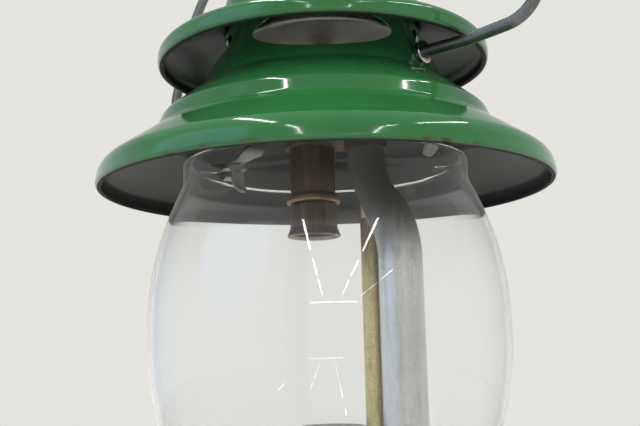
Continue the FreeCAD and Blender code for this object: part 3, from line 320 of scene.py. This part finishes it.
hide = plainFinish("oiledLeather", [(0.085, 0.040, 0.016), (0.13, 0.062, 0.026)], 0.55, 380, 0.35)
dullZinc = plainFinish("dullZinc", [(0.60, 0.585, 0.55), (0.72, 0.705, 0.665)], 0.42, 500, 0.15)
screenMesh = screenFinish("burnerScreenWire")
print("finishes made:", len(bpy.data.materials))


# modelling by hand
def deselect():
    if bpy.context.object is not None and bpy.context.object.mode != "OBJECT":
        bpy.ops.object.mode_set(mode="OBJECT")
    bpy.ops.object.select_all(action="DESELECT")


def selectOnly(piece):
    deselect()
    piece.select_set(True)
    bpy.context.view_layer.objects.active = piece


def startPoint(name, spot):        # a small plane drawn together to one corner
    deselect()
    bpy.ops.mesh.primitive_plane_add(size=mm, location=spot)
    piece = bpy.context.object
    piece.name = piece.data.name = name
    bpy.ops.object.transform_apply(location=True, rotation=True, scale=True)
    bpy.ops.object.mode_set(mode="EDIT")
    bpy.ops.mesh.select_all(action="SELECT")
    bpy.ops.mesh.merge(type="CENTER")
    return piece


def startRing(name, spot, facing, radius, sides, fill="NOTHING"):
    deselect()
    turn = Vector(facing).to_track_quat("Z", "Y").to_euler()
    bpy.ops.mesh.primitive_circle_add(vertices=sides, radius=radius * mm, fill_type=fill,
                                      location=Vector(spot) * mm, rotation=turn)
    piece = bpy.context.object
    piece.name = piece.data.name = name
    bpy.ops.object.transform_apply(location=True, rotation=True, scale=True)
    bpy.ops.object.mode_set(mode="EDIT")
    bpy.ops.mesh.select_all(action="SELECT")
    return piece


def pull(step):
    if step.length > 1e-7:
        bpy.ops.mesh.extrude_region_move(TRANSFORM_OT_translate={"value": step})


# what is selected is pulled along the straight runs and spun round the corners; a corner is (x, y, z, round)
def follow(corners, fineness=6.0):
    spots = [Vector(corner[:3]) * mm for corner in corners]
    here = spots[0]
    for i in range(1, len(spots)):
        rounding = corners[i][3] * mm if len(corners[i]) > 3 else 0
        if not rounding:
            pull(spots[i] - here)
            here = spots[i]
            continue
        inward = (spots[i] - spots[i - 1]).normalized()
        onward = (spots[i + 1] - spots[i]).normalized()
        turn = inward.angle(onward)
        reach = rounding * math.tan(turn / 2)
        entry = spots[i] - inward * reach
        pull(entry - here)
        axis = inward.cross(onward).normalized()
        steps = max(3, round(math.degrees(turn) / fineness))
        bpy.ops.mesh.spin(steps=steps, angle=-turn, center=entry + axis.cross(inward) * rounding, axis=axis)
        here = spots[i] + onward * reach


def closeUp(piece, outside=None):
    bpy.ops.mesh.select_all(action="SELECT")
    bpy.ops.mesh.remove_doubles(threshold=2e-6)
    bpy.ops.mesh.normals_make_consistent(inside=False)
    if outside is not None:
        mesh = bmesh.from_edit_mesh(piece.data)
        outer = max(mesh.faces, key=lambda face: outside(face.calc_center_median()))
        step = outer.calc_center_median() + outer.normal * 1e-5
        if outside(step) < outside(outer.calc_center_median()):
            bpy.ops.mesh.flip_normals()
    bpy.ops.object.mode_set(mode="OBJECT")


def turned(name, corners, sides=128, spot=(0, 0, 0), axis=(0, 0, 1), across=(1, 0, 0), fineness=6.0):
    spot, axis, across = Vector(spot), Vector(axis).normalized(), Vector(across).normalized()
    route = [(*(spot + across * corner[0] + axis * corner[1]), *corner[2:]) for corner in corners]
    piece = startPoint(name, Vector(route[0][:3]) * mm)
    follow(route, fineness)
    bpy.ops.mesh.select_all(action="SELECT")
    bpy.ops.mesh.spin(steps=sides, angle=2 * math.pi, center=spot * mm, axis=axis, use_auto_merge=True)
    closeUp(piece, lambda point: (point - spot * mm - axis * (point - spot * mm).dot(axis)).length)
    return piece


def applyModifier(piece, kind, **settings):
    selectOnly(piece)
    added = piece.modifiers.new(kind.lower(), kind)
    for key, value in settings.items():
        setattr(added, key, value)
    bpy.ops.object.modifier_apply(modifier=added.name)


def thicken(piece, wall, inner=0, rim=0):
    applyModifier(piece, "SOLIDIFY", thickness=wall * mm, offset=-1.0, use_even_offset=True,
                  material_offset=inner, material_offset_rim=rim)


def soften(piece, width, segments=2, angle=40):
    applyModifier(piece, "BEVEL", width=width * mm, segments=segments, limit_method="ANGLE",
                  angle_limit=math.radians(angle), use_clamp_overlap=True)


def cutAway(piece, cutter):
    applyModifier(piece, "BOOLEAN", operation="DIFFERENCE", solver="EXACT", object=cutter)
    bpy.data.objects.remove(cutter)


def ovalCutter(spot, facing, halfWidth, halfHeight, length, sides=96):
    back = Vector(spot) - Vector(facing) * length / 2
    cutter = startRing("cutter", back, facing, 1.0, sides, "NGON")
    bpy.ops.transform.resize(value=(halfWidth, halfWidth, halfHeight), center_override=back * mm)
    pull(Vector(facing) * length * mm)
    closeUp(cutter)
    return cutter


# a round hole, from a spot and so far along its axis
def drill(piece, spot, axis, radius, length, sides):
    cutter = startRing("cutter", spot, axis, radius, sides, "NGON")
    pull(Vector(axis) * length * mm)
    closeUp(cutter)
    cutAway(piece, cutter)


def joined(pieces):
    deselect()
    for piece in pieces:
        piece.select_set(True)
    bpy.context.view_layer.objects.active = pieces[0]
    bpy.ops.object.join()
    return pieces[0]


def dress(piece, finishes, body, replaced, angle=35):
    selectOnly(piece)
    bpy.ops.object.shade_smooth_by_angle(angle=math.radians(angle))
    for index, finish in enumerate(finishes):
        if index < len(piece.data.materials):
            piece.data.materials[index] = finish
        else:
            piece.data.materials.append(finish)
    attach(piece, body)
    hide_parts(*replaced)


# a CAD node copied, merged, and its sharp edges broken
def broken(nodeName, name, width):
    mesh = nodes[nodeName].data.copy()
    piece = bpy.data.objects.new(name, mesh)
    mesh.name = name
    bpy.context.scene.collection.objects.link(piece)
    selectOnly(piece)
    bpy.ops.mesh.customdata_custom_splitnormals_clear()
    bpy.ops.object.mode_set(mode="EDIT")
    bpy.ops.mesh.select_all(action="SELECT")
    bpy.ops.mesh.remove_doubles(threshold=2e-6)
    bpy.ops.mesh.dissolve_limited(angle_limit=math.radians(0.5))
    bpy.ops.object.mode_set(mode="OBJECT")
    soften(piece, width, angle=35)
    return piece


# ventilator
ventilator = {
    "corners": [(77.6, 226.0), (79.8, 226.0, 1.4), (78.8, 233.2, 8.4), (59.6, 246.0, 3.0), (57.6, 251.4, 5.2),
                (43.6, 262.05, 3.5), (34.2, 284.1, 3.0), (34.2, 290.1)],
    "wall": 1.0, "sides": 192, "windowTurns": (40, 130), "windowHalfWidth": 22.9, "windowHalfHeight": 8.0,
    "windowHeight": 273.8, "ear": 267.2, "eyeletHole": 3.45, "cutLength": 120, "edge": 0.25,
}
hood = {
    "corners": [(56.75, 270.0), (58.95, 270.0, 1.4), (58.95, 275.7, 4.3), (35.3, 287.1, 2.5), (35.3, 300.6, 9.0),
                (2.8, 300.6)],
    "wall": 1.0, "sides": 160, "edge": 0.25,
}


def makeVentilator():
    body = turned("ventilatorShell", ventilator["corners"], ventilator["sides"], fineness=4)
    body.data.materials.append(greenShell)
    body.data.materials.append(brimInside)
    thicken(body, ventilator["wall"], 1, 1)
    for turn in ventilator["windowTurns"]:
        facing = (-math.sin(math.radians(turn)), math.cos(math.radians(turn)), 0)
        cutAway(body, ovalCutter((0, 0, ventilator["windowHeight"]), facing, ventilator["windowHalfWidth"],
                                 ventilator["windowHalfHeight"], ventilator["cutLength"]))
    hole = ventilator["eyeletHole"]
    cutAway(body, ovalCutter((0, 0, ventilator["ear"]), (0, 1, 0), hole, hole, ventilator["cutLength"], 40))
    soften(body, ventilator["edge"], angle=55)
    dress(body, [greenShell, brimInside], "lantern", ["ventilator_body"])
    top = turned("ventilatorHood", hood["corners"], hood["sides"], fineness=4)
    top.data.materials.append(greenHood)
    top.data.materials.append(hoodInside)
    thicken(top, hood["wall"], 1, 1)
    soften(top, hood["edge"], angle=55)
    dress(top, [greenHood, hoodInside], "lantern", ["ventilator_hood"])


makeVentilator()
print("ventilator made")

# globe
globe = {
    "corners": [(50, 119.2), (50, 126.7, 7), (62, 152.7, 100.4), (62, 201.7, 100.4), (50, 227.7, 7), (50, 233.9),
                (50, 235.2)],
    "wall": 1.8, "sides": 192, "rimTop": 235.2, "beadInside": 46.6, "rimRound": 0.5,
}


def makeGlobe():
    chimney = turned("globeGlass", globe["corners"], globe["sides"], fineness=1.6)
    thicken(chimney, globe["wall"])
    inner = globe["corners"][-1][0] - globe["wall"]
    bpy.ops.object.mode_set(mode="EDIT")
    bpy.ops.mesh.select_all(action="DESELECT")
    mesh = bmesh.from_edit_mesh(chimney.data)
    for vert in mesh.verts:
        vert.select_set(vert.co.z > (globe["rimTop"] - 0.1) * mm and vert.co.xy.length < (inner + 0.5) * mm)
    mesh.select_flush(True)
    bead = globe["beadInside"] / inner          # the rim is drawn in to a thicker bead
    bpy.ops.transform.resize(value=(bead, bead, 1), center_override=(0, 0, globe["rimTop"] * mm))
    bpy.ops.object.mode_set(mode="OBJECT")
    soften(chimney, globe["rimRound"], 4, 60)
    dress(chimney, [glass], "lantern", ["globe"], 25)


makeGlobe()
print("globe made")

# air tube and generator
airTube = {
    "back": 30.9, "radius": 7.3, "foot": 117.0, "lowBend": 208.2, "highBend": 229.2, "upperBack": 18.0,
    "upperRadius": 6.3, "end": 244.7, "round": 30.0, "lead": 1.0, "wall": 1.0, "sides": 64,
    "jetBack": 19.0, "jetRadius": 3.6, "jetFoot": 200.9, "jetEnd": 225.2,
}
generator = {
    "back": 19.0, "edge": 0.2,
    "tube": [(2.5, 111.7), (3.3, 111.7), (3.3, 214.2), (2.5, 214.2), (2.5, 111.7)],
    "tip": [(1.1, 214.2), (3.3, 214.2), (3.3, 218.2, 0.5), (1.9, 225.2), (1.1, 225.2), (1.1, 214.2)],
}


def makeAirTube():
    a = airTube
    slant = math.atan((a["back"] - a["upperBack"]) / (a["highBend"] - a["lowBend"]))
    lead = a["round"] * math.tan(slant / 2) + a["lead"]
    along = Vector((0, math.sin(slant), math.cos(slant)))
    low = Vector((0, -a["back"], a["lowBend"]))
    high = Vector((0, -a["upperBack"], a["highBend"]))
    wide, narrow = low + along * lead, high - along * lead
    tube = startRing("airTube", (0, -a["back"], a["foot"]), (0, 0, 1), a["radius"], a["sides"])
    follow([(0, -a["back"], a["foot"]), (*low, a["round"]), tuple(wide)], 3)
    pull((narrow - wide) * mm)
    shrink = a["upperRadius"] / a["radius"]
    bpy.ops.transform.resize(value=(shrink, shrink, shrink), center_override=narrow * mm)
    follow([tuple(narrow), (*high, a["round"]), (0, -a["upperBack"], a["end"])], 3)
    closeUp(tube, lambda point: -point.y - 0.2 * point.z)
    thicken(tube, a["wall"])
    drill(tube, (0, -a["jetBack"], a["jetFoot"]), upAxis, a["jetRadius"], a["jetEnd"] - a["jetFoot"], 40)
    dress(tube, [tubeSteel], "lantern", ["air_tube"])
    spot = (0, -generator["back"], 0)
    stem = turned("generatorTube", generator["tube"], 48, spot)
    soften(stem, generator["edge"])
    dress(stem, [oliveBrass], "lantern", ["generator_tube"])
    tip = turned("generatorTip", generator["tip"], 40, spot)
    soften(tip, generator["edge"])
    dress(tip, [oliveBrass], "lantern", ["generator_tip"])


makeAirTube()
print("air tube and generator made")

# burner
burner = {
    "spot": (0, 6, 0),
    "tube": [(7, 222.2), (8, 222.2), (8, 244.7), (7, 244.7), (7, 222.2)],
    "bead": [(8.1, 222.2), (9.6, 222.2, 0.9), (9.6, 225.6, 1.3), (8.1, 225.6), (8.1, 222.2)],
    "cap": [(9.6, 210.6), (8.4, 213.6, 1.6), (8.4, 222.2, 1.0), (6.6, 222.2)],
    "capWall": 0.8, "capEdge": 0.25, "tubeEdge": 0.15,
    "screen": [(0, 216.6), (7.5, 216.6, 0.3), (7.5, 217.4, 0.3), (0, 217.4)],
}


def makeBurner():
    spot = burner["spot"]
    tube = turned("burnerTube", burner["tube"], 64, spot)
    soften(tube, burner["tubeEdge"])
    dress(tube, [burntSteel], "lantern", ["burner_tube"])
    bead = turned("burnerBead", burner["bead"], 64, spot, fineness=15)
    dress(bead, [beadSteel], "lantern", ["burner_collar"], 50)
    cap = turned("burnerCap", burner["cap"], 64, spot, fineness=8)
    cap.data.materials.append(capSteel)
    cap.data.materials.append(mouthSteel)
    thicken(cap, burner["capWall"], 1, 1)
    soften(cap, burner["capEdge"], 3)
    dress(cap, [capSteel, mouthSteel], "lantern", ["burner_cap"])
    screen = turned("burnerScreen", burner["screen"], 48, spot, fineness=30)
    dress(screen, [screenMesh], "lantern", ["burner_screen"])


makeBurner()
print("burner made")

# bail and eyelets
bail = {
    "ear": 267.2, "lean": 15.0, "wire": 2.0, "sides": 24, "end": 36.7, "head": 3.4, "headThick": 1.5,
    "route": [(-36.7, 0), (-60.5, 0, 11), (-84.2, 2.6, 11), (-84.2, 105, 66), (84.2, 105, 66), (84.2, 2.6, 11),
              (60.5, 0, 11), (36.7, 0)],
    "eyelet": [(2.25, 38.5, 0.0), (3.35, 38.5), (3.35, 43.6, 0.2), (3.9, 43.6, 0.25), (3.9, 44.4, 0.35), (2.25, 44.4),
               (2.25, 38.5)],
}


def makeBail():
    lean = math.radians(bail["lean"])
    route = [(step[1] * math.sin(lean), step[0], bail["ear"] + step[1] * math.cos(lean), *step[2:])
             for step in bail["route"]]
    wire = startRing("bailWire", route[0][:3], (0, 1, 0), bail["wire"], bail["sides"], "NGON")
    follow(route, 3)
    closeUp(wire, lambda point: point.z)
    heads = [wire]          # the wire's ends are upset to heads
    for side in (-1, 1):
        spot = (0, side * bail["end"], bail["ear"])
        profile = [(0, 0), (bail["head"], 0, 0.5), (bail["head"], bail["headThick"], 0.5), (0, bail["headThick"])]
        heads.append(turned("bailHead", profile, 32, spot, (0, -side, 0), (1, 0, 0), 20))
    dress(joined(heads), [zincWire], "bail", ["bail"], 50)
    rings = []
    for side in (-1, 1):
        rings.append(turned("bailEyelets", bail["eyelet"], 48, (0, 0, bail["ear"]), (0, side, 0), (1, 0, 0), 20))
    dress(joined(rings), [nickel], "lantern", ["bail_eyelets"], 50)


makeBail()
print("bail made")

# plates: baffle, strap, rest, shield
plates = {
    "baffle": [(2.6, 277.2), (33.4, 277.2, 1.2), (33.4, 280.2)], "baffleWall": 0.8,
    "rest": [(0, 118.0), (54.0, 118.0, 2.2), (54.0, 125.0)], "restWall": 1.2,
    "shield": [(14.6, 119.2), (14.6, 145.2, 4.0), (0, 145.2)], "shieldWall": 0.8,
    "tubeHole": (30.9, 7.4), "fuelHole": (19.0, 3.6), "holeFoot": 112, "holeDepth": 12,
    "edge": 0.2, "strapEdge": 0.3,
}


def makePlates():
    baffle = turned("bafflePlate", plates["baffle"], 128, fineness=15)
    thicken(baffle, plates["baffleWall"])
    soften(baffle, plates["edge"])
    dress(baffle, [plateSteel], "lantern", ["baffle_plate"])
    rest = turned("globeRest", plates["rest"], 128, fineness=12)
    thicken(rest, plates["restWall"])
    for back, radius in (plates["tubeHole"], plates["fuelHole"]):
        drill(rest, (0, -back, plates["holeFoot"]), upAxis, radius, plates["holeDepth"], 48)
    soften(rest, plates["edge"], angle=55)
    dress(rest, [plateSteel], "lantern", ["globe_rest"])
    shield = turned("heatShield", plates["shield"], 96, fineness=10)
    thicken(shield, plates["shieldWall"])
    soften(shield, plates["edge"])
    dress(shield, [plateSteel], "lantern", ["heat_shield"])
    strap = broken("frame_strap", "frameStrap", plates["strapEdge"])
    dress(strap, [plateSteel], "lantern", ["frame_strap"])


makePlates()
print("plates made")

# crossbar with its spring clips; each step of a strip is (y, z, half width)
clips = {
    "arm": [(0, 249.7, 5.0), (22.0, 249.7, 5.0), (27.0, 249.7, 3.9), (29.7, 249.6, 3.5), (31.0, 249.1, 3.6),
            (33.0, 247.9, 4.2), (36.0, 246.1, 4.9), (39.0, 244.3, 5.0), (42.0, 242.5, 4.6), (45.0, 240.7, 3.9),
            (48.0, 238.9, 3.1), (50.3, 237.5, 2.6), (51.2, 237.25, 2.6), (52.2, 237.6, 2.6), (53.2, 238.6, 2.8),
            (58.0, 244.0, 3.4)],
    "leg": [(45.8, 239.9, 2.8), (45.8, 237.6, 3.0), (45.5, 235.8, 3.0), (44.8, 234.2, 2.9), (43.8, 232.8, 2.4),
            (42.9, 231.8, 1.4)],
    "wall": 1.2, "edge": 0.25, "studHole": 2.6, "studFoot": 246, "studDepth": 8,
}


def ribbon(name, line, outside):
    y, z, half = line[0]
    piece = startPoint(name, Vector((-half, y, z)) * mm)
    pull(Vector((2 * half, 0, 0)) * mm)
    bpy.ops.mesh.select_all(action="SELECT")
    for nextY, nextZ, nextHalf in line[1:]:
        pull(Vector((0, nextY - y, nextZ - z)) * mm)
        spot = Vector((0, nextY, nextZ)) * mm
        bpy.ops.transform.resize(value=(nextHalf / half, 1, 1), center_override=spot)
        y, z, half = nextY, nextZ, nextHalf
    closeUp(piece, outside)
    thicken(piece, clips["wall"])
    return piece


def makeCrossbar():
    mirrored = [(-y, z, half) for y, z, half in reversed(clips["arm"][1:])]
    bar = ribbon("globeCrossbar", mirrored + clips["arm"], lambda point: -point.z)
    bar.data.materials.append(clipSteel)
    drill(bar, (0, 0, clips["studFoot"]), upAxis, clips["studHole"], clips["studDepth"], 40)
    pieces = [bar]
    for side in (-1, 1):
        line = [(side * y, z, half) for y, z, half in clips["leg"]]
        leg = ribbon("globeClip", line, lambda point: abs(point.y))
        leg.data.materials.append(dullZinc)
        pieces.append(leg)
    joined(pieces)
    soften(bar, clips["edge"])
    dress(bar, [clipSteel, dullZinc], "lantern", ["crossbar"])


makeCrossbar()
print("crossbar made")

# fount and collar
fount = {
    "corners": [(82.5, 4.0), (82.5, 72.0, 16.0), (60.0, 84.0, 4.0), (11.1, 84.0)], "wall": 1.0, "sides": 192,
    "filler": ((-67.19, -24.45, 77.87), (-0.4422, -0.1610, 0.8824), 11.1),
    "pump": ((61.49, -35.5, 78.13), (0.4075, -0.2353, 0.8824), 10.1), "holeReach": 8,
}
collar = {
    "corners": [(50, 84), (56, 84, 1.6), (56, 118, 1.6), (50, 118)], "wall": 1.0, "sides": 192,
    "radius": 56, "cutDepth": 20, "cutSides": 40, "ventRadius": 4.5, "ventHeight": 101.0, "vents": 8,
    "stem": (97.7, 6.0), "lever": (107.2, 3.0), "edge": 0.2,
}


def makeFount():
    shell = turned("fountShell", fount["corners"], fount["sides"], fineness=4)
    thicken(shell, fount["wall"])
    for spot, axis, radius in (fount["filler"], fount["pump"]):
        drill(shell, Vector(spot) - Vector(axis) * fount["holeReach"], axis, radius, 2 * fount["holeReach"], 48)
    dress(shell, [greenPaint], "lantern", ["fount_shell"])
    drum = turned("collarDrum", collar["corners"], collar["sides"], fineness=12)
    thicken(drum, collar["wall"])
    holes = []
    for i in range(collar["vents"]):
        turn = math.radians((i + 0.5) * 360 / collar["vents"])
        holes.append((Vector((math.sin(turn), -math.cos(turn), 0)), collar["ventHeight"], collar["ventRadius"]))
    holes += [(Vector((0, -1, 0)), *hole) for hole in (collar["stem"], collar["lever"])]
    for facing, height, radius in holes:
        spot = facing * collar["radius"] + upAxis * height
        cutAway(drum, ovalCutter(spot, facing, radius, radius, collar["cutDepth"], collar["cutSides"]))
    soften(drum, collar["edge"], angle=55)
    dress(drum, [nickel], "lantern", ["collar"])


makeFount()
print("fount and collar made")

# small pieces: CAD copies with broken edges, and CAD nodes that only need a finish
smallPieces = {
    "valve_wheel": ("controlWheel", 0.5, blackPlastic, "control", "black_plastic"),
    "wheel_screw": ("wheelScrew", 0.3, rodSteel, "control", "bright_steel"),
    "packing_nut": ("packingNut", 0.4, warmBrass, "lantern", "brass"),
    "generator_nut": ("generatorNut", 0.4, warmBrass, "lantern", "brass"),
    "valve_body": ("valveBody", 0.4, warmBrass, "lantern", "brass"),
    "cleaning_lever": ("cleaningLever", 0.2, rodSteel, "lever", "bright_steel"),
    "filler_cap": ("fillerCap", 0.4, nickel, "fuel_cap", "nickel"),
    "filler_neck": ("fillerNeck", 0.3, nickel, "lantern", "nickel"),
    "pump_cap": ("pumpCap", 0.4, nickel, "lantern", "nickel"),
    "plunger_knob": ("plungerKnob", 0.3, blackPlastic, "plunger", "black_plastic"),
    "ball_nut": ("ballNut", 0.4, nickel, "top_nut", "nickel"),
    "burner_manifold": ("burnerManifold", 0.5, burntSteel, "lantern", "burnt_steel"),
    "mixing_collar": ("mixingCollar", 0.25, burntSteel, "lantern", "burnt_steel"),
}
keptNodes = {
    "fount_bottom": greenPaint, "valve_boss": warmBrass, "fuel_pickup_tube": warmBrass, "filler_gasket": corkRubber,
    "pump_tube": rodSteel, "check_valve": warmBrass, "air_stem": rodSteel, "plunger_rod": aluminium,
    "leather_nut": rodSteel, "pump_leather": hide, "valve_stem": rodSteel, "cleaning_rod": rodSteel,
    "top_stud": rodSteel,
}


def makeSmallPieces():
    for nodeName, (name, width, finish, body, slotName) in smallPieces.items():
        piece = broken(nodeName, name, width)
        dress(piece, [finish], body, [nodeName])
    for nodeName, finish in keptNodes.items():
        node = nodes[nodeName]
        node.data.materials.clear()
        node.data.materials.append(finish)


makeSmallPieces()
print("small pieces made")

# studio
studio = {
    "backdrop": (0.783, 0.776, 0.738), "fill": 0.42, "fillTint": (0.95, 0.97, 1.0, 1), "aim": (0, 0, 0.22),
    "floorTones": ((0.665, 0.660, 0.630), (0.680, 0.676, 0.646)), "floorRadius": 1.15, "floorDrop": 0.2,
    "floorFade": (0.45, 0.98),
    "softBoxes": {
        "keyBox": {"spot": (-0.40, -0.34, 1.50), "size": 1.4, "power": 13.0, "tint": (1.0, 0.97, 0.93)},
        "sideBox": {"spot": (0.65, -0.85, 0.75), "size": 0.7, "power": 2.5, "tint": (1.0, 0.95, 0.88)},
        "rearBox": {"spot": (0.4, 0.9, 0.9), "size": 1.0, "power": 3.0, "tint": (1.0, 1.0, 1.0)},
        "windowPane": {"spot": (-1.35, 1.45, 0.75), "size": 0.9, "power": 4.0, "tint": (0.78, 0.88, 1.0)},
    },
    # ceiling tubes: rows are (across, how many), starts lie along the line of sight
    "tubeRows": ((-0.36, 5), (0.77, 5), (1.93, 3)), "tubeStarts": (-5.55, -4.31, -3.08, -1.85, -0.6),
    "tubeLength": 0.84, "tubeWidth": 0.030, "tubeHeight": 1.2, "tubePower": 2.3, "tubeTint": (1, 1, 1),
    "crossRow": (0.4, -7.4, 3.6), "sightTurn": 50,
    # what gloss sees each way of the room: (way, fade low, fade high, tone)
    "sides": (
        ((-0.766, -0.643, 0.0), -0.3, 0.8, (0.72, 0.715, 0.68)),
        ((-0.643, 0.766, 0.0), 0.35, 0.85, (0.84, 0.92, 1.0)),
        ((0.0, 0.0, 1.0), 0.1, 0.6, (0.38, 0.39, 0.40)),
        ((-0.805, 0.382, 0.466), 0.90, 0.94, (0.85, 1.05, 1.50)),
    ),
}
camera = {
    "spot": (-0.2418, -0.2029, 0.1687), "turn": -49.58, "pitch": 8.98, "roll": -1.39, "lens": 50.9, "sensor": 36.0,
    "nearest": 0.01,
}


def areaLamp(name, spot, turn, sizes, power, tint, mirrored):
    deselect()
    bpy.ops.object.light_add(type="AREA", location=spot, rotation=turn)
    lamp = bpy.context.object
    lamp.name = lamp.data.name = name
    lamp.data.shape = "RECTANGLE"
    lamp.data.size, lamp.data.size_y = sizes
    lamp.data.energy = power
    lamp.data.color = tint
    lamp.visible_camera = False
    lamp.visible_glossy = mirrored
    lamp.visible_transmission = mirrored


# a point given across, along and above the photograph's line of sight
def seenFrom(across, along, up):
    turn = math.radians(studio["sightTurn"])
    return (math.cos(turn) * across + math.sin(turn) * along, math.cos(turn) * along - math.sin(turn) * across, up)


def makeFloor():
    edge = studio["floorRadius"]
    floor = startRing("studioFloor", (0, 0, -studio["floorDrop"]), upAxis, edge / mm, 96, "NGON")
    closeUp(floor)
    finish, start = newFinish("paleFloor")
    where = place(start)
    tone = noise(where, 1.5, 3).fade(0.2, 0.8).tint(*studio["floorTones"])
    out = start.make("ShaderNodeVectorMath", {"operation": "LENGTH"}, {0: where}, 1)
    near, far = (edge * share for share in studio["floorFade"])
    closeFinish(finish, start, {"Base Color": tone, "Roughness": 0.9, "Specular IOR Level": 0.1,
                                "Alpha": out.fade(near, far, 1.0, 0.0)})
    floor.data.materials.append(finish)


def makeWorld():
    world = bpy.data.worlds.new("studioWorld")
    bpy.context.scene.world = world
    world.use_nodes = True
    world.node_tree.nodes.clear()
    start = Signal(world.node_tree)
    path = start.make("ShaderNodeLightPath").socket.node.outputs
    mirrored = Signal(start.tree, path["Is Glossy Ray"])
    through = Signal(start.tree, path["Is Transmission Ray"])
    seen = Signal(start.tree, path["Is Camera Ray"]).most(mirrored).most(through)
    towards = start.make("ShaderNodeTexCoord", out=3)
    tone = studio["backdrop"]
    for way, low, high, shade in studio["sides"]:
        facing = start.make("ShaderNodeVectorMath", {"operation": "DOT_PRODUCT"}, {0: towards, 1: way}, 1)
        tone = (facing.fade(low, high) * mirrored).tint(tone, shade)
    shown = start.make("ShaderNodeBackground", None, {"Color": tone, "Strength": 1.0})
    lit = start.make("ShaderNodeBackground", None, {"Color": studio["fillTint"], "Strength": studio["fill"]})
    both = start.make("ShaderNodeMixShader", None, {0: seen, 1: lit, 2: shown})
    start.make("ShaderNodeOutputWorld", None, {"Surface": both})


def makeLamps():
    aim = Vector(studio["aim"])
    for name, lamp in studio["softBoxes"].items():
        turn = (aim - Vector(lamp["spot"])).to_track_quat("-Z", "Y").to_euler()
        areaLamp(name, lamp["spot"], turn, (lamp["size"],) * 2, lamp["power"], lamp["tint"], False)
    length, width, power = studio["tubeLength"], studio["tubeWidth"], studio["tubePower"]
    height, tint = studio["tubeHeight"], studio["tubeTint"]
    turn = (0, 0, math.radians(90 - studio["sightTurn"]))
    for across, count in studio["tubeRows"]:
        for along in studio["tubeStarts"][:count]:
            spot = seenFrom(across, along + length / 2, height)
            areaLamp("ceilingTube", spot, turn, (length, width), power, tint, True)
    across, along, crossLength = studio["crossRow"]
    spot = Vector(seenFrom(across, along, height))
    turn = (Vector(seenFrom(across, 0, height)) - spot).to_track_quat("-Z", "Y").to_euler()
    areaLamp("crossTube", spot, turn, (crossLength, width), power * crossLength / length, tint, True)


def makeCamera():
    deselect()
    bpy.ops.object.camera_add()
    view = bpy.context.object
    view.name = view.data.name = "photoCamera"
    view.data.sensor_fit = "HORIZONTAL"
    view.data.sensor_width = camera["sensor"]
    view.data.lens = camera["lens"]
    view.data.clip_start = camera["nearest"]
    view.matrix_world = (Matrix.Translation(camera["spot"])
                         @ Matrix.Rotation(math.radians(camera["turn"]), 4, "Z")
                         @ Matrix.Rotation(math.radians(90 + camera["pitch"]), 4, "X")
                         @ Matrix.Rotation(math.radians(camera["roll"]), 4, "Z"))
    bpy.context.scene.camera = view
    bpy.context.scene.view_settings.view_transform = "Standard"


makeFloor()
makeWorld()
makeLamps()
makeCamera()
print("studio made")

bpy.context.view_layer.update()
